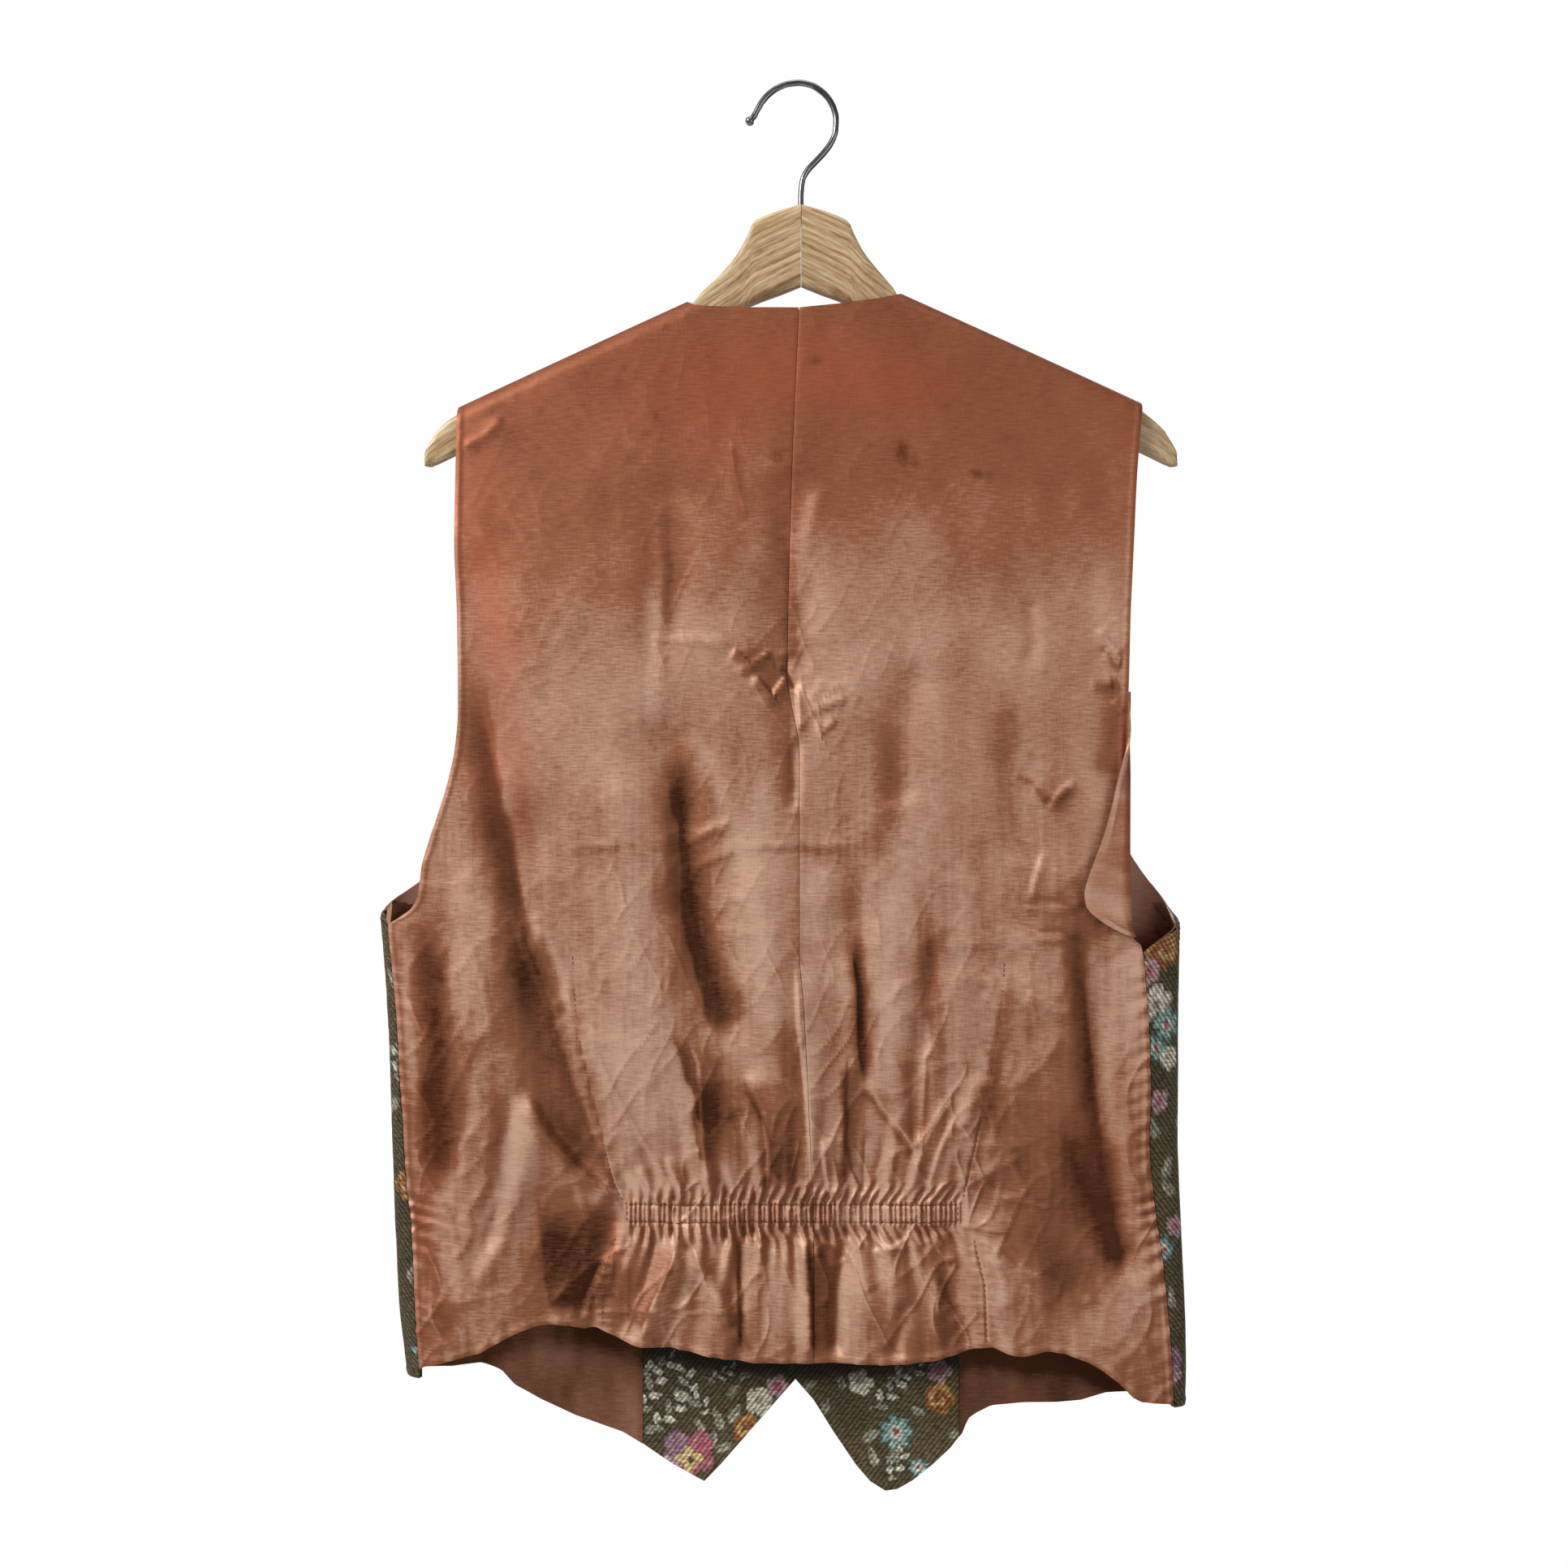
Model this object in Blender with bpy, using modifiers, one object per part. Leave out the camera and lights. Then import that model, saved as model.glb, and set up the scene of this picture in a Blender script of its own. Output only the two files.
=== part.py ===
"""Waistcoat hung on a wooden clothes hanger, seen from its back.

The back is two panels of satin, joined down the middle and drawn in by an elastic band.
The fronts are tapestry cloth, wrapped round the sides to meet the back behind the fold.
Inside them lie a tapestry facing along each front edge and a satin lining.
Frame: millimetres in the tables, metres in the model. +Z up, +Y towards the front of the
garment, +X the wearer's right. The origin is where a rail carries the hook.
"""
import functools
import math

import bmesh
import bpy
import numpy as np

MM = 0.001

# Driving dimensions, in millimetres
HANGER_SPAN = 445.0          # tip to tip of the wood
HANGER_THICKNESS = 13.4      # wood, front to back
HANGER_LEAN = 8.0            # how far the tips bend towards the front
HOOK_WIRE = 3.6              # diameter of the hook's wire
BACK_CLOTH = 1.2             # wall of the back panels
FRONT_CLOTH = 1.4            # wall of the tapestry fronts
INNER_CLOTH = 1.0            # wall of lining and facing
SEAM_GAP = 0.3               # between sewn pieces
LAYER_GAP = 0.45             # between a front and what lies inside it
SIDE_SEAM_GAP = 0.5          # the same gap, measured across the oblique side seams
BAND_TOP = -650.0            # upper stitch line of the elastic
BAND_BOTTOM = -660.0         # lower stitch line of the elastic
BAND_LEFT = -104.0
BAND_RIGHT = 96.0
RIB_COUNT = 66               # small gathers along the elastic
RIB_HEIGHT = 1.3
BUTTON_DIAMETER = 17.0
BUTTON_THICKNESS = 3.2
BUTTON_COUNT = 5
BUTTON_TOP = -470.0
BUTTON_STEP = 66.0

# Section of the hung garment: a flattened ring, squarer than an ellipse
SQUARENESS = 3.5
SHOULDER_ROUND = 12.0        # the cloth turns over the hanger within this drop
SHOULDER_DEPTH = {-1: 12.5, 1: 15.0}    # of the back and of the front
SETTLE = 190.0               # below this drop the cloth hangs at the table's depth
LEAN_FADE = 120.0            # below this drop the hanger's bend no longer shows

# Where the ring folds at each side, and how far back and front stand off its middle plane
RING = (
    # z, left fold x, right fold x, back depth, front depth
    (-120.0, -264.0, 264.0, 14.0, 15.0),
    (-250.0, -264.0, 258.0, 19.0, 19.0),
    (-350.0, -260.0, 246.0, 23.0, 22.0),
    (-440.0, -251.5, 230.0, 25.5, 22.5),
    (-489.0, -245.0, 221.0, 26.0, 22.5),
    (-519.0, -242.4, 220.1, 26.0, 22.0),
    (-566.0, -239.6, 219.6, 25.0, 21.0),
    (-614.0, -238.1, 219.6, 22.0, 20.0),
    (-655.0, -236.9, 221.0, 18.0, 19.0),
    (-685.0, -235.6, 222.4, 21.5, 18.5),
    (-709.0, -234.4, 223.4, 24.0, 18.5),
    (-740.0, -231.0, 223.9, 26.0, 18.0),
    (-768.0, -227.0, 223.4, 26.5, 18.0),
    (-830.0, -226.0, 222.0, 26.5, 17.0),
)

# Seam line of the shoulders, which slopes both ways from the neck
NECK_POINT = {-1: (-67.4, -126.8), 1: (59.3, -122.2)}
SHOULDER_TIP = {-1: (-201.1, -186.9), 1: (202.1, -185.4)}

BACK_NECK = (
    # x, z
    (-67.4, -126.8), (-62.0, -130.4), (-56.1, -131.4), (-35.4, -132.4), (-1.2, -132.6),
    (20.6, -130.4), (47.0, -126.8), (54.5, -124.6), (59.3, -122.2),
)

# Edge of each back panel: armhole, then side seam
BACK_EDGE = {
    -1: (
        # z, x
        (-180.0, -200.6), (-227.0, -200.9), (-264.0, -200.9), (-311.0, -198.6),
        (-367.0, -197.2), (-386.0, -198.6), (-405.0, -202.3), (-424.0, -208.0),
        (-443.0, -214.5), (-455.0, -218.0), (-466.0, -219.4), (-473.0, -220.6),
        (-478.0, -223.0), (-484.0, -229.5), (-489.5, -238.6), (-513.5, -236.5),
        (-543.6, -233.7), (-572.8, -232.3), (-603.0, -230.4), (-641.0, -228.5),
        (-658.5, -226.1), (-701.0, -223.3), (-728.0, -221.9), (-747.0, -220.0),
    ),
    1: (
        (-180.0, 199.9), (-227.0, 195.1), (-264.0, 192.5), (-311.0, 189.5),
        (-358.0, 187.6), (-377.0, 186.2), (-440.0, 185.6), (-489.0, 186.6),
        (-495.0, 188.5), (-501.4, 195.4), (-537.0, 198.7), (-561.5, 200.4),
        (-588.0, 201.0), (-615.0, 200.4), (-633.6, 202.0), (-656.6, 204.8),
        (-679.7, 208.1), (-702.8, 210.4), (-725.9, 212.6), (-749.0, 214.2),
        (-767.0, 214.7),
    ),
}

# The right armhole's edge is folded over towards the viewer
FLAP = (
    # z, width past the fold
    (-358.0, 0.0), (-395.0, 5.0), (-413.0, 7.5), (-435.0, 13.0), (-452.0, 19.5),
    (-461.5, 23.5), (-470.0, 26.0), (-477.0, 25.0), (-483.0, 20.0), (-489.5, 11.0),
    (-495.0, 0.0),
)
FLAP_BEND = 1.5              # radius of the fold
FLAP_TURN = (
    # z, angle turned in degrees
    (-358.0, 20.0), (-385.0, 110.0), (-413.0, 172.0), (-480.0, 176.0), (-495.0, 150.0),
)

# Edge of each front: armhole on the front face, then round the fold to the side seam
FRONT_ARMHOLE = {
    -1: (
        # z, x, face (1 front, -1 back)
        (-186.0, -200.6, 1), (-230.0, -190.0, 1), (-280.0, -184.0, 1), (-340.0, -182.0, 1),
        (-385.0, -185.5, 1), (-415.0, -192.5, 1), (-440.0, -205.0, 1), (-465.0, -223.5, 1),
        (-472.0, -234.5, 1), (-480.0, -244.2, 1), (-484.5, -245.4, -1), (-490.5, -239.6, -1),
    ),
    1: (
        (-184.5, 201.6, 1), (-230.0, 187.0, 1), (-280.0, 180.0, 1), (-340.0, 177.0, 1),
        (-385.0, 179.0, 1), (-420.0, 184.0, 1), (-441.0, 190.0, 1), (-453.0, 197.2, 1),
        (-463.0, 204.0, 1), (-472.0, 211.4, 1), (-482.0, 217.6, 1), (-489.0, 220.9, -1),
        (-496.0, 212.0, -1), (-503.0, 197.6, -1),
    ),
}
FRONT_EDGE = {-1: 10.0, 1: -14.0}    # the left front laps over the right
V_BOTTOM = -455.0
LAP_LIFT = 1.9                       # half of the step between the lapped fronts
LAP_SPREAD = 80.0
LAP_FROM = -320.0                    # the fronts step apart over this fall of height
LAP_FALL = 60.0

BACK_HEM = (
    # x, z
    (-222.0, -747.0), (-217.3, -743.6), (-208.0, -741.3), (-198.7, -738.1), (-184.8, -734.4),
    (-170.8, -726.4), (-161.5, -721.8), (-152.2, -718.5), (-142.9, -717.6), (-133.6, -718.5),
    (-124.3, -720.4), (-117.4, -719.5), (-110.4, -721.8), (-101.1, -726.0), (-92.3, -728.8),
    (-73.2, -729.7), (-54.6, -734.4), (-40.6, -737.1), (-26.7, -738.5), (7.2, -738.8),
    (45.4, -739.5), (57.0, -738.5), (75.6, -737.6), (89.5, -733.9), (98.8, -730.6),
    (109.1, -729.7), (117.4, -733.0), (126.7, -734.8), (140.7, -732.5), (150.0, -733.9),
    (163.9, -739.0), (173.2, -744.6), (183.4, -752.5), (189.5, -759.5), (195.5, -763.0),
    (211.8, -765.0), (216.0, -767.0),
)
FRONT_HEM = {
    -1: (
        # x, z
        (-228.0, -750.5), (-206.1, -751.4), (-188.7, -749.5), (-177.6, -753.8),
        (-169.4, -763.0), (-153.4, -772.2), (-133.1, -781.8), (-105.6, -791.5),
        (-93.5, -798.8), (-75.7, -810.8), (-57.3, -821.0), (-47.2, -810.8), (-38.9, -801.2),
        (-21.6, -781.8), (-2.7, -760.6), (10.0, -747.0),
    ),
    1: (
        (-14.0, -748.0), (-2.7, -760.6), (7.4, -772.2), (19.5, -791.5), (32.5, -810.8),
        (40.8, -820.5), (49.9, -826.3), (57.0, -825.4), (65.9, -820.5), (78.4, -810.8),
        (88.6, -801.2), (96.3, -791.5), (98.6, -784.3), (103.1, -780.9), (112.7, -776.0),
        (132.0, -774.1), (151.4, -773.6), (165.4, -772.2), (180.3, -767.4), (192.4, -766.6),
        (224.0, -768.0),
    ),
}

FRONT_TIP = {-1: -57.3, 1: 52.0}     # x of the lowest point of each front

CENTRE_SEAM = (
    # z, x
    (-128.0, -1.2), (-238.0, -5.8), (-345.0, -8.1), (-391.0, -1.2), (-503.0, -1.2),
    (-535.0, 1.2), (-632.0, 5.8), (-670.0, 7.2), (-760.0, 7.2),
)

# Inner edge of each facing
FACING_EDGE = {
    -1: ((-150.0, -118.0), (-300.0, -102.0), (-450.0, -94.0), (-830.0, -93.5)),
    1: ((-150.0, 110.0), (-300.0, 100.0), (-450.0, 94.0), (-830.0, 93.5)),
}

# Largest folds of the back: a soft ridge (height above 0) or trough along each line
BACK_FOLDS = (
    # x, z at the top, x, z at the bottom, half width, height
    (-192.0, -290.0, -160.0, -440.0, 20.0, -2.6),
    (-160.0, -440.0, -142.0, -530.0, 20.0, -3.6),
    (-142.0, -530.0, -118.0, -640.0, 18.0, -3.2),
    (-176.0, -420.0, -172.0, -640.0, 24.0, 3.0),
    (-76.0, -245.0, -78.0, -320.0, 14.0, -2.2),
    (-76.0, -385.0, -66.0, -480.0, 18.0, -4.0),
    (-66.0, -480.0, -34.0, -575.0, 18.0, -4.0),
    (-96.0, -420.0, -84.0, -560.0, 22.0, 2.6),
    (-6.0, -240.0, -6.0, -350.0, 14.0, -2.4),
    (-22.0, -470.0, -4.0, -620.0, 18.0, 2.6),
    (28.0, -490.0, 36.0, -630.0, 14.0, -3.2),
    (60.0, -400.0, 50.0, -520.0, 24.0, 2.6),
    (118.0, -400.0, 116.0, -510.0, 16.0, -2.4),
    (140.0, -470.0, 142.0, -640.0, 26.0, 3.0),
    (170.0, -500.0, 172.0, -700.0, 15.0, -3.6),
    (192.0, -520.0, 196.0, -700.0, 12.0, 2.2),
    (-213.0, -500.0, -211.0, -640.0, 12.0, -3.0),
    (-150.0, -655.0, -140.0, -706.0, 20.0, -3.0),
    (-109.0, -662.0, -121.0, -720.0, 8.0, -4.5),
    (-72.0, -668.0, -92.0, -730.0, 8.0, 4.0),
    (-62.0, -668.0, -40.0, -726.0, 8.0, 3.6),
    (-36.0, -668.0, -37.0, -740.0, 6.0, -2.6),
    (20.0, -668.0, 19.0, -740.0, 7.0, -3.2),
    (52.0, -668.0, 56.0, -740.0, 9.0, 3.0),
    (84.0, -665.0, 92.0, -735.0, 8.0, -3.0),
    (110.0, -665.0, 122.0, -735.0, 10.0, 3.0),
    (158.0, -655.0, 160.0, -715.0, 18.0, -2.6),
)
FRONT_FOLDS = (
    (-170.0, -430.0, -150.0, -640.0, 22.0, -2.6),
    (-110.0, -480.0, -104.0, -700.0, 24.0, 2.4),
    (-56.0, -430.0, -70.0, -600.0, 18.0, -2.0),
    (54.0, -450.0, 66.0, -640.0, 18.0, -2.2),
    (112.0, -470.0, 108.0, -700.0, 24.0, 2.4),
    (166.0, -440.0, 160.0, -650.0, 22.0, -2.6),
)

# Soft ripples that fan out above and below the elastic
RIPPLE_PITCH = 15.0
RIPPLE_HEIGHT = 1.6
RIPPLE_ABOVE = 34.0
RIPPLE_BELOW = 85.0

# Outline of the hanger's arms from the middle outwards
WOOD = (
    # distance from the middle, top z of the left and of the right arm, bottom z
    (0.15, -70.2, -70.2, -117.0), (12.5, -73.6, -73.6, -122.0), (21.5, -76.9, -76.9, -125.2),
    (26.5, -79.3, -79.3, -127.2), (28.6, -81.7, -81.7, -128.0), (30.4, -86.4, -86.4, -128.8),
    (33.0, -91.6, -91.6, -129.8), (35.5, -96.4, -96.4, -130.8), (39.0, -101.6, -101.6, -132.4),
    (43.0, -106.6, -106.6, -134.4), (48.0, -112.2, -112.2, -136.9),
    (54.0, -117.8, -119.4, -139.9), (57.5, -121.0, -125.4, -141.7),
    (60.5, -124.4, -128.9, -143.2), (64.0, -128.8, -130.7, -145.0),
    (67.6, -131.6, -131.4, -146.8), (73.0, -134.8, -133.8, -149.5),
    (100.0, -145.5, -144.2, -163.0), (150.0, -167.9, -166.4, -188.0),
    (198.0, -189.6, -188.0, -212.0), (207.0, -195.0, -195.0, -216.2),
    (213.0, -200.6, -200.6, -219.0), (218.0, -208.6, -208.6, -221.0),
    (221.4, -215.0, -215.0, -220.8),
)
WOOD_ROUND = 2.6
HOOK_DEPTH = 12.0            # of the hook's stem in the wood
HOOK_BORE = 2.1

# Middle line of the hook's wire, from its free end to the wood
HOOK_PATH = (
    # x, z
    (-31.6, -22.0), (-29.6, -20.2), (-27.4, -17.6), (-25.2, -13.4), (-22.4, -8.8),
    (-18.6, -4.6), (-13.4, -1.0), (-7.4, 1.2), (-1.0, 1.8), (5.6, 0.6), (11.4, -2.8),
    (16.2, -7.8), (19.2, -13.6), (20.6, -20.0), (20.2, -26.6), (17.6, -33.2),
    (13.2, -39.2), (8.2, -44.6), (3.8, -49.4), (1.2, -54.6), (0.3, -60.0), (0.0, -66.0),
)

COLOURS = {
    # name: sRGB hex, roughness, metallic
    "satin": ("9C6A50", 0.42, 0.0),
    "tapestry": ("4C4733", 0.85, 0.0),
    "lining": ("87553F", 0.45, 0.0),
    "oak": ("C9A270", 0.55, 0.0),
    "steel": ("A9A9AC", 0.25, 1.0),
    "button": ("3A3327", 0.35, 0.0),
}


def start_clean():
    for thing in list(bpy.data.objects):
        bpy.data.objects.remove(thing, do_unlink=True)


def make_collections():
    parts = bpy.data.collections.new("waistcoat_on_hanger")
    cutters = bpy.data.collections.new("cutters")
    for collection in (parts, cutters):
        bpy.context.scene.collection.children.link(collection)
    return parts, cutters


def linear(channel):
    if channel <= 0.04045:
        return channel / 12.92
    return ((channel + 0.055) / 1.055) ** 2.4


def make_material(name):
    hex_colour, roughness, metallic = COLOURS[name]
    channels = [linear(int(hex_colour[k:k + 2], 16) / 255.0) for k in (0, 2, 4)]
    material = bpy.data.materials.new(name)
    material.use_nodes = True
    shader = material.node_tree.nodes["Principled BSDF"]
    shader.inputs["Base Color"].default_value = (*channels, 1.0)
    shader.inputs["Roughness"].default_value = roughness
    shader.inputs["Metallic"].default_value = metallic
    return material


def column(table, at, index):
    """A table's column at a value of its first column, by straight runs."""
    rows = sorted(table)
    return float(np.interp(at, [row[0] for row in rows], [row[index] for row in rows]))


@functools.lru_cache(maxsize=None)
def knots(table, index):
    """A column's points and tangents, for a smooth curve that never overshoots them."""
    rows = sorted(table)
    xs = np.array([row[0] for row in rows])
    ys = np.array([row[index] for row in rows])
    slopes = np.diff(ys) / np.diff(xs)
    before, after = slopes[:-1], slopes[1:]
    same_way = before * after > 0.0
    safe_sum = np.where(same_way, before + after, 1.0)
    tangents = np.empty(len(xs))
    tangents[1:-1] = np.where(same_way, 2.0 * before * after / safe_sum, 0.0)
    tangents[0], tangents[-1] = slopes[0], slopes[-1]
    return xs, ys, tangents


def glide(table, at, index):
    """A table's column at a value of its first column, by the smooth curve."""
    xs, ys, tangents = knots(table, index)
    at = min(max(at, xs[0]), xs[-1])
    k = max(int(np.searchsorted(xs, at)) - 1, 0)
    step = xs[k + 1] - xs[k]
    t = (at - xs[k]) / step
    rise = t * t * (3.0 - 2.0 * t)
    lead = t * (1.0 - t) ** 2
    lag = t * t * (t - 1.0)
    return float(ys[k] + rise * (ys[k + 1] - ys[k])
                 + step * (lead * tangents[k] + lag * tangents[k + 1]))


def ease(t):
    t = np.clip(t, 0.0, 1.0)
    return t * t * (3.0 - 2.0 * t)


def ridge_height(x):
    """Height of the shoulder line above a place, carried on across the neck."""
    slopes = {side: (SHOULDER_TIP[side][1] - NECK_POINT[side][1])
              / (SHOULDER_TIP[side][0] - NECK_POINT[side][0]) for side in (-1, 1)}
    left = NECK_POINT[-1][1] + slopes[-1] * (x - NECK_POINT[-1][0])
    right = NECK_POINT[1][1] + slopes[1] * (x - NECK_POINT[1][0])
    return np.minimum(left, right)


def ring_middle(z):
    left = glide(RING, z, 1)
    right = glide(RING, z, 2)
    return 0.5 * (left + right), 0.5 * (right - left)


def fold_height(folds, x, z):
    """Sum of the soft ridges and troughs at places x, each a bell across its line."""
    total = np.zeros_like(x)
    for x_top, z_top, x_low, z_low, half_width, height in folds:
        if not z_low - 3.0 * half_width < z < z_top + 3.0 * half_width:
            continue
        run_x, run_z = x_low - x_top, z_low - z_top
        t = ((x - x_top) * run_x + (z - z_top) * run_z) / (run_x ** 2 + run_z ** 2)
        t = np.clip(t, 0.0, 1.0)
        gap = np.hypot(x - x_top - t * run_x, z - z_top - t * run_z)
        total += height * np.exp(-(gap / half_width) ** 2)
    return total


def ripple_height(x, z):
    """Waves that fan out from the elastic and die away above and below it."""
    inside = ease((x - BAND_LEFT + 14.0) / 28.0) * ease((BAND_RIGHT + 14.0 - x) / 28.0)
    if z > BAND_TOP:
        reach = 1.0 - ease((z - BAND_TOP) / RIPPLE_ABOVE)
    elif z < BAND_BOTTOM:
        reach = 1.0 - 0.7 * ease((BAND_BOTTOM - z) / RIPPLE_BELOW)
    else:
        reach = 0.4
    wave = np.sin(math.tau * x / RIPPLE_PITCH + 1.3 * np.sin(x / 23.0))
    return RIPPLE_HEIGHT * inside * reach * wave


def face_depth(x, z, face):
    """The y of the cloth's outer side at places x. Face is -1 on the back, 1 on the front."""
    middle, half = ring_middle(z)
    across = np.minimum(np.abs(x - middle) / half, 1.0)
    squared = (1.0 - across ** SQUARENESS) ** (1.0 / SQUARENESS)
    drop = ridge_height(x) - z
    turn = np.sqrt(1.0 - (1.0 - np.clip(drop / SHOULDER_ROUND, 0.0, 1.0)) ** 2)
    hung = glide(RING, z, 3 if face < 0 else 4)
    start = SHOULDER_DEPTH[face]
    depth = start + (hung - start) * ease(drop / SETTLE)
    depth += fold_height(BACK_FOLDS if face < 0 else FRONT_FOLDS, x, z)
    if face < 0:
        depth += ripple_height(x, z)
    lean = HANGER_LEAN * (2.0 * x / HANGER_SPAN) ** 2 * (1.0 - ease(drop / LEAN_FADE))
    return lean + face * (0.5 * SEAM_GAP + depth * turn * squared)


def along(points, share):
    """The point at a share of a line's length."""
    lengths = np.concatenate(([0.0], np.cumsum(np.hypot(*np.diff(points, axis=0).T))))
    at = share * lengths[-1]
    return (float(np.interp(at, lengths, points[:, 0])),
            float(np.interp(at, lengths, points[:, 1])))


@functools.lru_cache(maxsize=None)
def back_line(z, side):
    """A back panel's section at one height, from the centre seam to its edge."""
    start = glide(CENTRE_SEAM, z, 1) + side * 0.5 * SEAM_GAP
    end = glide(BACK_EDGE[side], z, 1)
    xs = np.linspace(start, end, 70)
    return np.column_stack((xs, face_depth(xs, z, -1)))


def turned(x, z, face, side):
    """The angle round the ring from the middle of the back, in degrees."""
    middle, half = ring_middle(z)
    across = min(max(side * (x - middle) / half, 0.0), 1.0)
    angle = math.degrees(math.asin(across ** (SQUARENESS / 2.0)))
    return angle if face < 0 else 180.0 - angle


@functools.lru_cache(maxsize=None)
def armhole_angles(side):
    return tuple((row[0], turned(row[1], row[0], row[2], side))
                 for row in FRONT_ARMHOLE[side])


def front_start(z, side):
    """The angle where a front begins: its armhole edge, or the side seam below that."""
    if z < FRONT_ARMHOLE[side][-1][0]:
        seam = glide(BACK_EDGE[side], z, 1) + side * SIDE_SEAM_GAP
        return turned(seam, z, -1, side)
    return column(armhole_angles(side), z, 1)


def lap_step(x, z, side):
    """How far a front stands out from or in under the other where they lap."""
    near = 1.0 - ease(np.abs(x) / LAP_SPREAD)
    low = ease((LAP_FROM - z) / LAP_FALL)
    return -side * LAP_LIFT * near * low


@functools.lru_cache(maxsize=None)
def front_line(z, side):
    """A front's section at one height, from its outer edge to the front edge."""
    middle, half = ring_middle(z)
    start = front_start(z, side)
    flat_from = 180.0 - math.degrees(math.asin(0.8 ** (SQUARENESS / 2.0)))
    bent = np.radians(np.linspace(min(start, flat_from), flat_from, 40))
    if start >= flat_from:
        bent = np.radians([start])
    across = np.sin(bent) ** (2.0 / SQUARENESS)
    xs = middle + side * half * across
    ys = np.where(bent < 0.5 * math.pi, face_depth(xs, z, -1), face_depth(xs, z, 1))
    flat = np.linspace(xs[-1], FRONT_EDGE[side], 70)[1:]
    return np.column_stack((np.concatenate((xs, flat)), np.concatenate(
        (ys, face_depth(flat, z, 1) + lap_step(flat, z, side)))))


@functools.lru_cache(maxsize=None)
def front_parts(z, side):
    """A front's section in two runs that meet at the inner edge of the facing."""
    line = front_line(z, side)
    edge = column(FACING_EDGE[side], z, 1)
    fold = int(np.argmax(np.abs(line[:, 0])))
    run = line[fold:]
    order = np.argsort(run[:, 0])
    meet = np.array([[edge, np.interp(edge, run[order, 0], run[order, 1])]])
    way = np.sign(run[-1, 0] - run[0, 0])
    outer = np.concatenate((line[:fold], run[(edge - run[:, 0]) * way > 0.05], meet))
    return outer, np.concatenate((meet, run[(run[:, 0] - edge) * way > 0.05]))


def back_top(x):
    if NECK_POINT[-1][0] <= x <= NECK_POINT[1][0]:
        return column(BACK_NECK, x, 1)
    return ridge_height(x)


def front_top(x, side):
    """Shoulder line, then the straight edge of the V neck."""
    neck_x, neck_z = NECK_POINT[side]
    if side * x >= side * neck_x:
        return ridge_height(x)
    t = (x - neck_x) / (FRONT_EDGE[side] - neck_x)
    return neck_z + t * (V_BOTTOM - neck_z)


def back_point(share, z, side):
    return np.array((*along(back_line(z, side), share), z))


def front_point(share, z, side):
    """A front's point: shares 0 to 1 run to the facing's edge, 1 to 2 to the front edge."""
    outer, inner = front_parts(z, side)
    if share <= 1.0:
        return np.array((*along(outer, share), z))
    return np.array((*along(inner, share - 1.0), z))


def settle_height(point, share, side, outline, guess):
    """The height where a column meets an outline that is given over x."""
    z = guess
    for _ in range(14):
        z = 0.5 * z + 0.5 * outline(point(share, z, side)[0])
    return z


def outward(point, share, z, side):
    """Normal of the cloth, away from the inside of the garment."""
    last = 1.0 if point is back_point else 2.0
    step = 0.004 if share < last else -0.004
    here = point(share, z, side)
    over = (point(share + step, z, side) - here) / step
    down = point(share, z - 0.05, side) - here
    normal = np.cross(over, down)
    if point is back_point and share == 0.0:
        normal[0] = 0.0          # the two panels' edges stay parallel at the centre seam
    return -side * normal / np.linalg.norm(normal)


def rib_height(x, z):
    """Small gathers, one ridge and one groove each, across the elastic."""
    if not BAND_LEFT < x < BAND_RIGHT:
        return 0.0
    middle = 0.5 * (BAND_TOP + BAND_BOTTOM)
    reach = 0.5 * (BAND_TOP - BAND_BOTTOM) + 7.0
    return RIB_HEIGHT * max(0.0, 1.0 - (abs(z - middle) / reach) ** 3)


def flap_points(point, tangent, normal, z):
    """The armhole's turned edge: a bend, then a straight run, as points and normals."""
    width = column(FLAP, z, 1)
    if width <= 0.0:
        return []
    angle = math.radians(column(FLAP_TURN, z, 1))
    centre = point + normal * FLAP_BEND
    found = []
    for share in (0.34, 0.67, 1.0):
        turn = share * angle
        place = centre - normal * FLAP_BEND * math.cos(turn) + tangent * FLAP_BEND * math.sin(turn)
        found.append((place, normal * math.cos(turn) - tangent * math.sin(turn)))
    run = tangent * math.cos(angle) + normal * math.sin(angle)
    found.append((found[-1][0] + run * width, found[-1][1]))
    return found


def join_rows(mesh, first, second):
    """Faces between two rows of (share, vertex), walked together by their shares."""
    i = j = 0
    while i < len(first) - 1 or j < len(second) - 1:
        more_i, more_j = i < len(first) - 1, j < len(second) - 1
        next_i = first[i + 1][0] if more_i else math.inf
        next_j = second[j + 1][0] if more_j else math.inf
        if more_i and more_j and abs(next_i - next_j) < 1e-6:
            mesh.faces.new((first[i][1], first[i + 1][1], second[j + 1][1], second[j][1]))
            i, j = i + 1, j + 1
        elif next_i < next_j:
            mesh.faces.new((first[i][1], first[i + 1][1], second[j][1]))
            i += 1
        else:
            mesh.faces.new((first[i][1], second[j + 1][1], second[j][1]))
            j += 1


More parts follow.
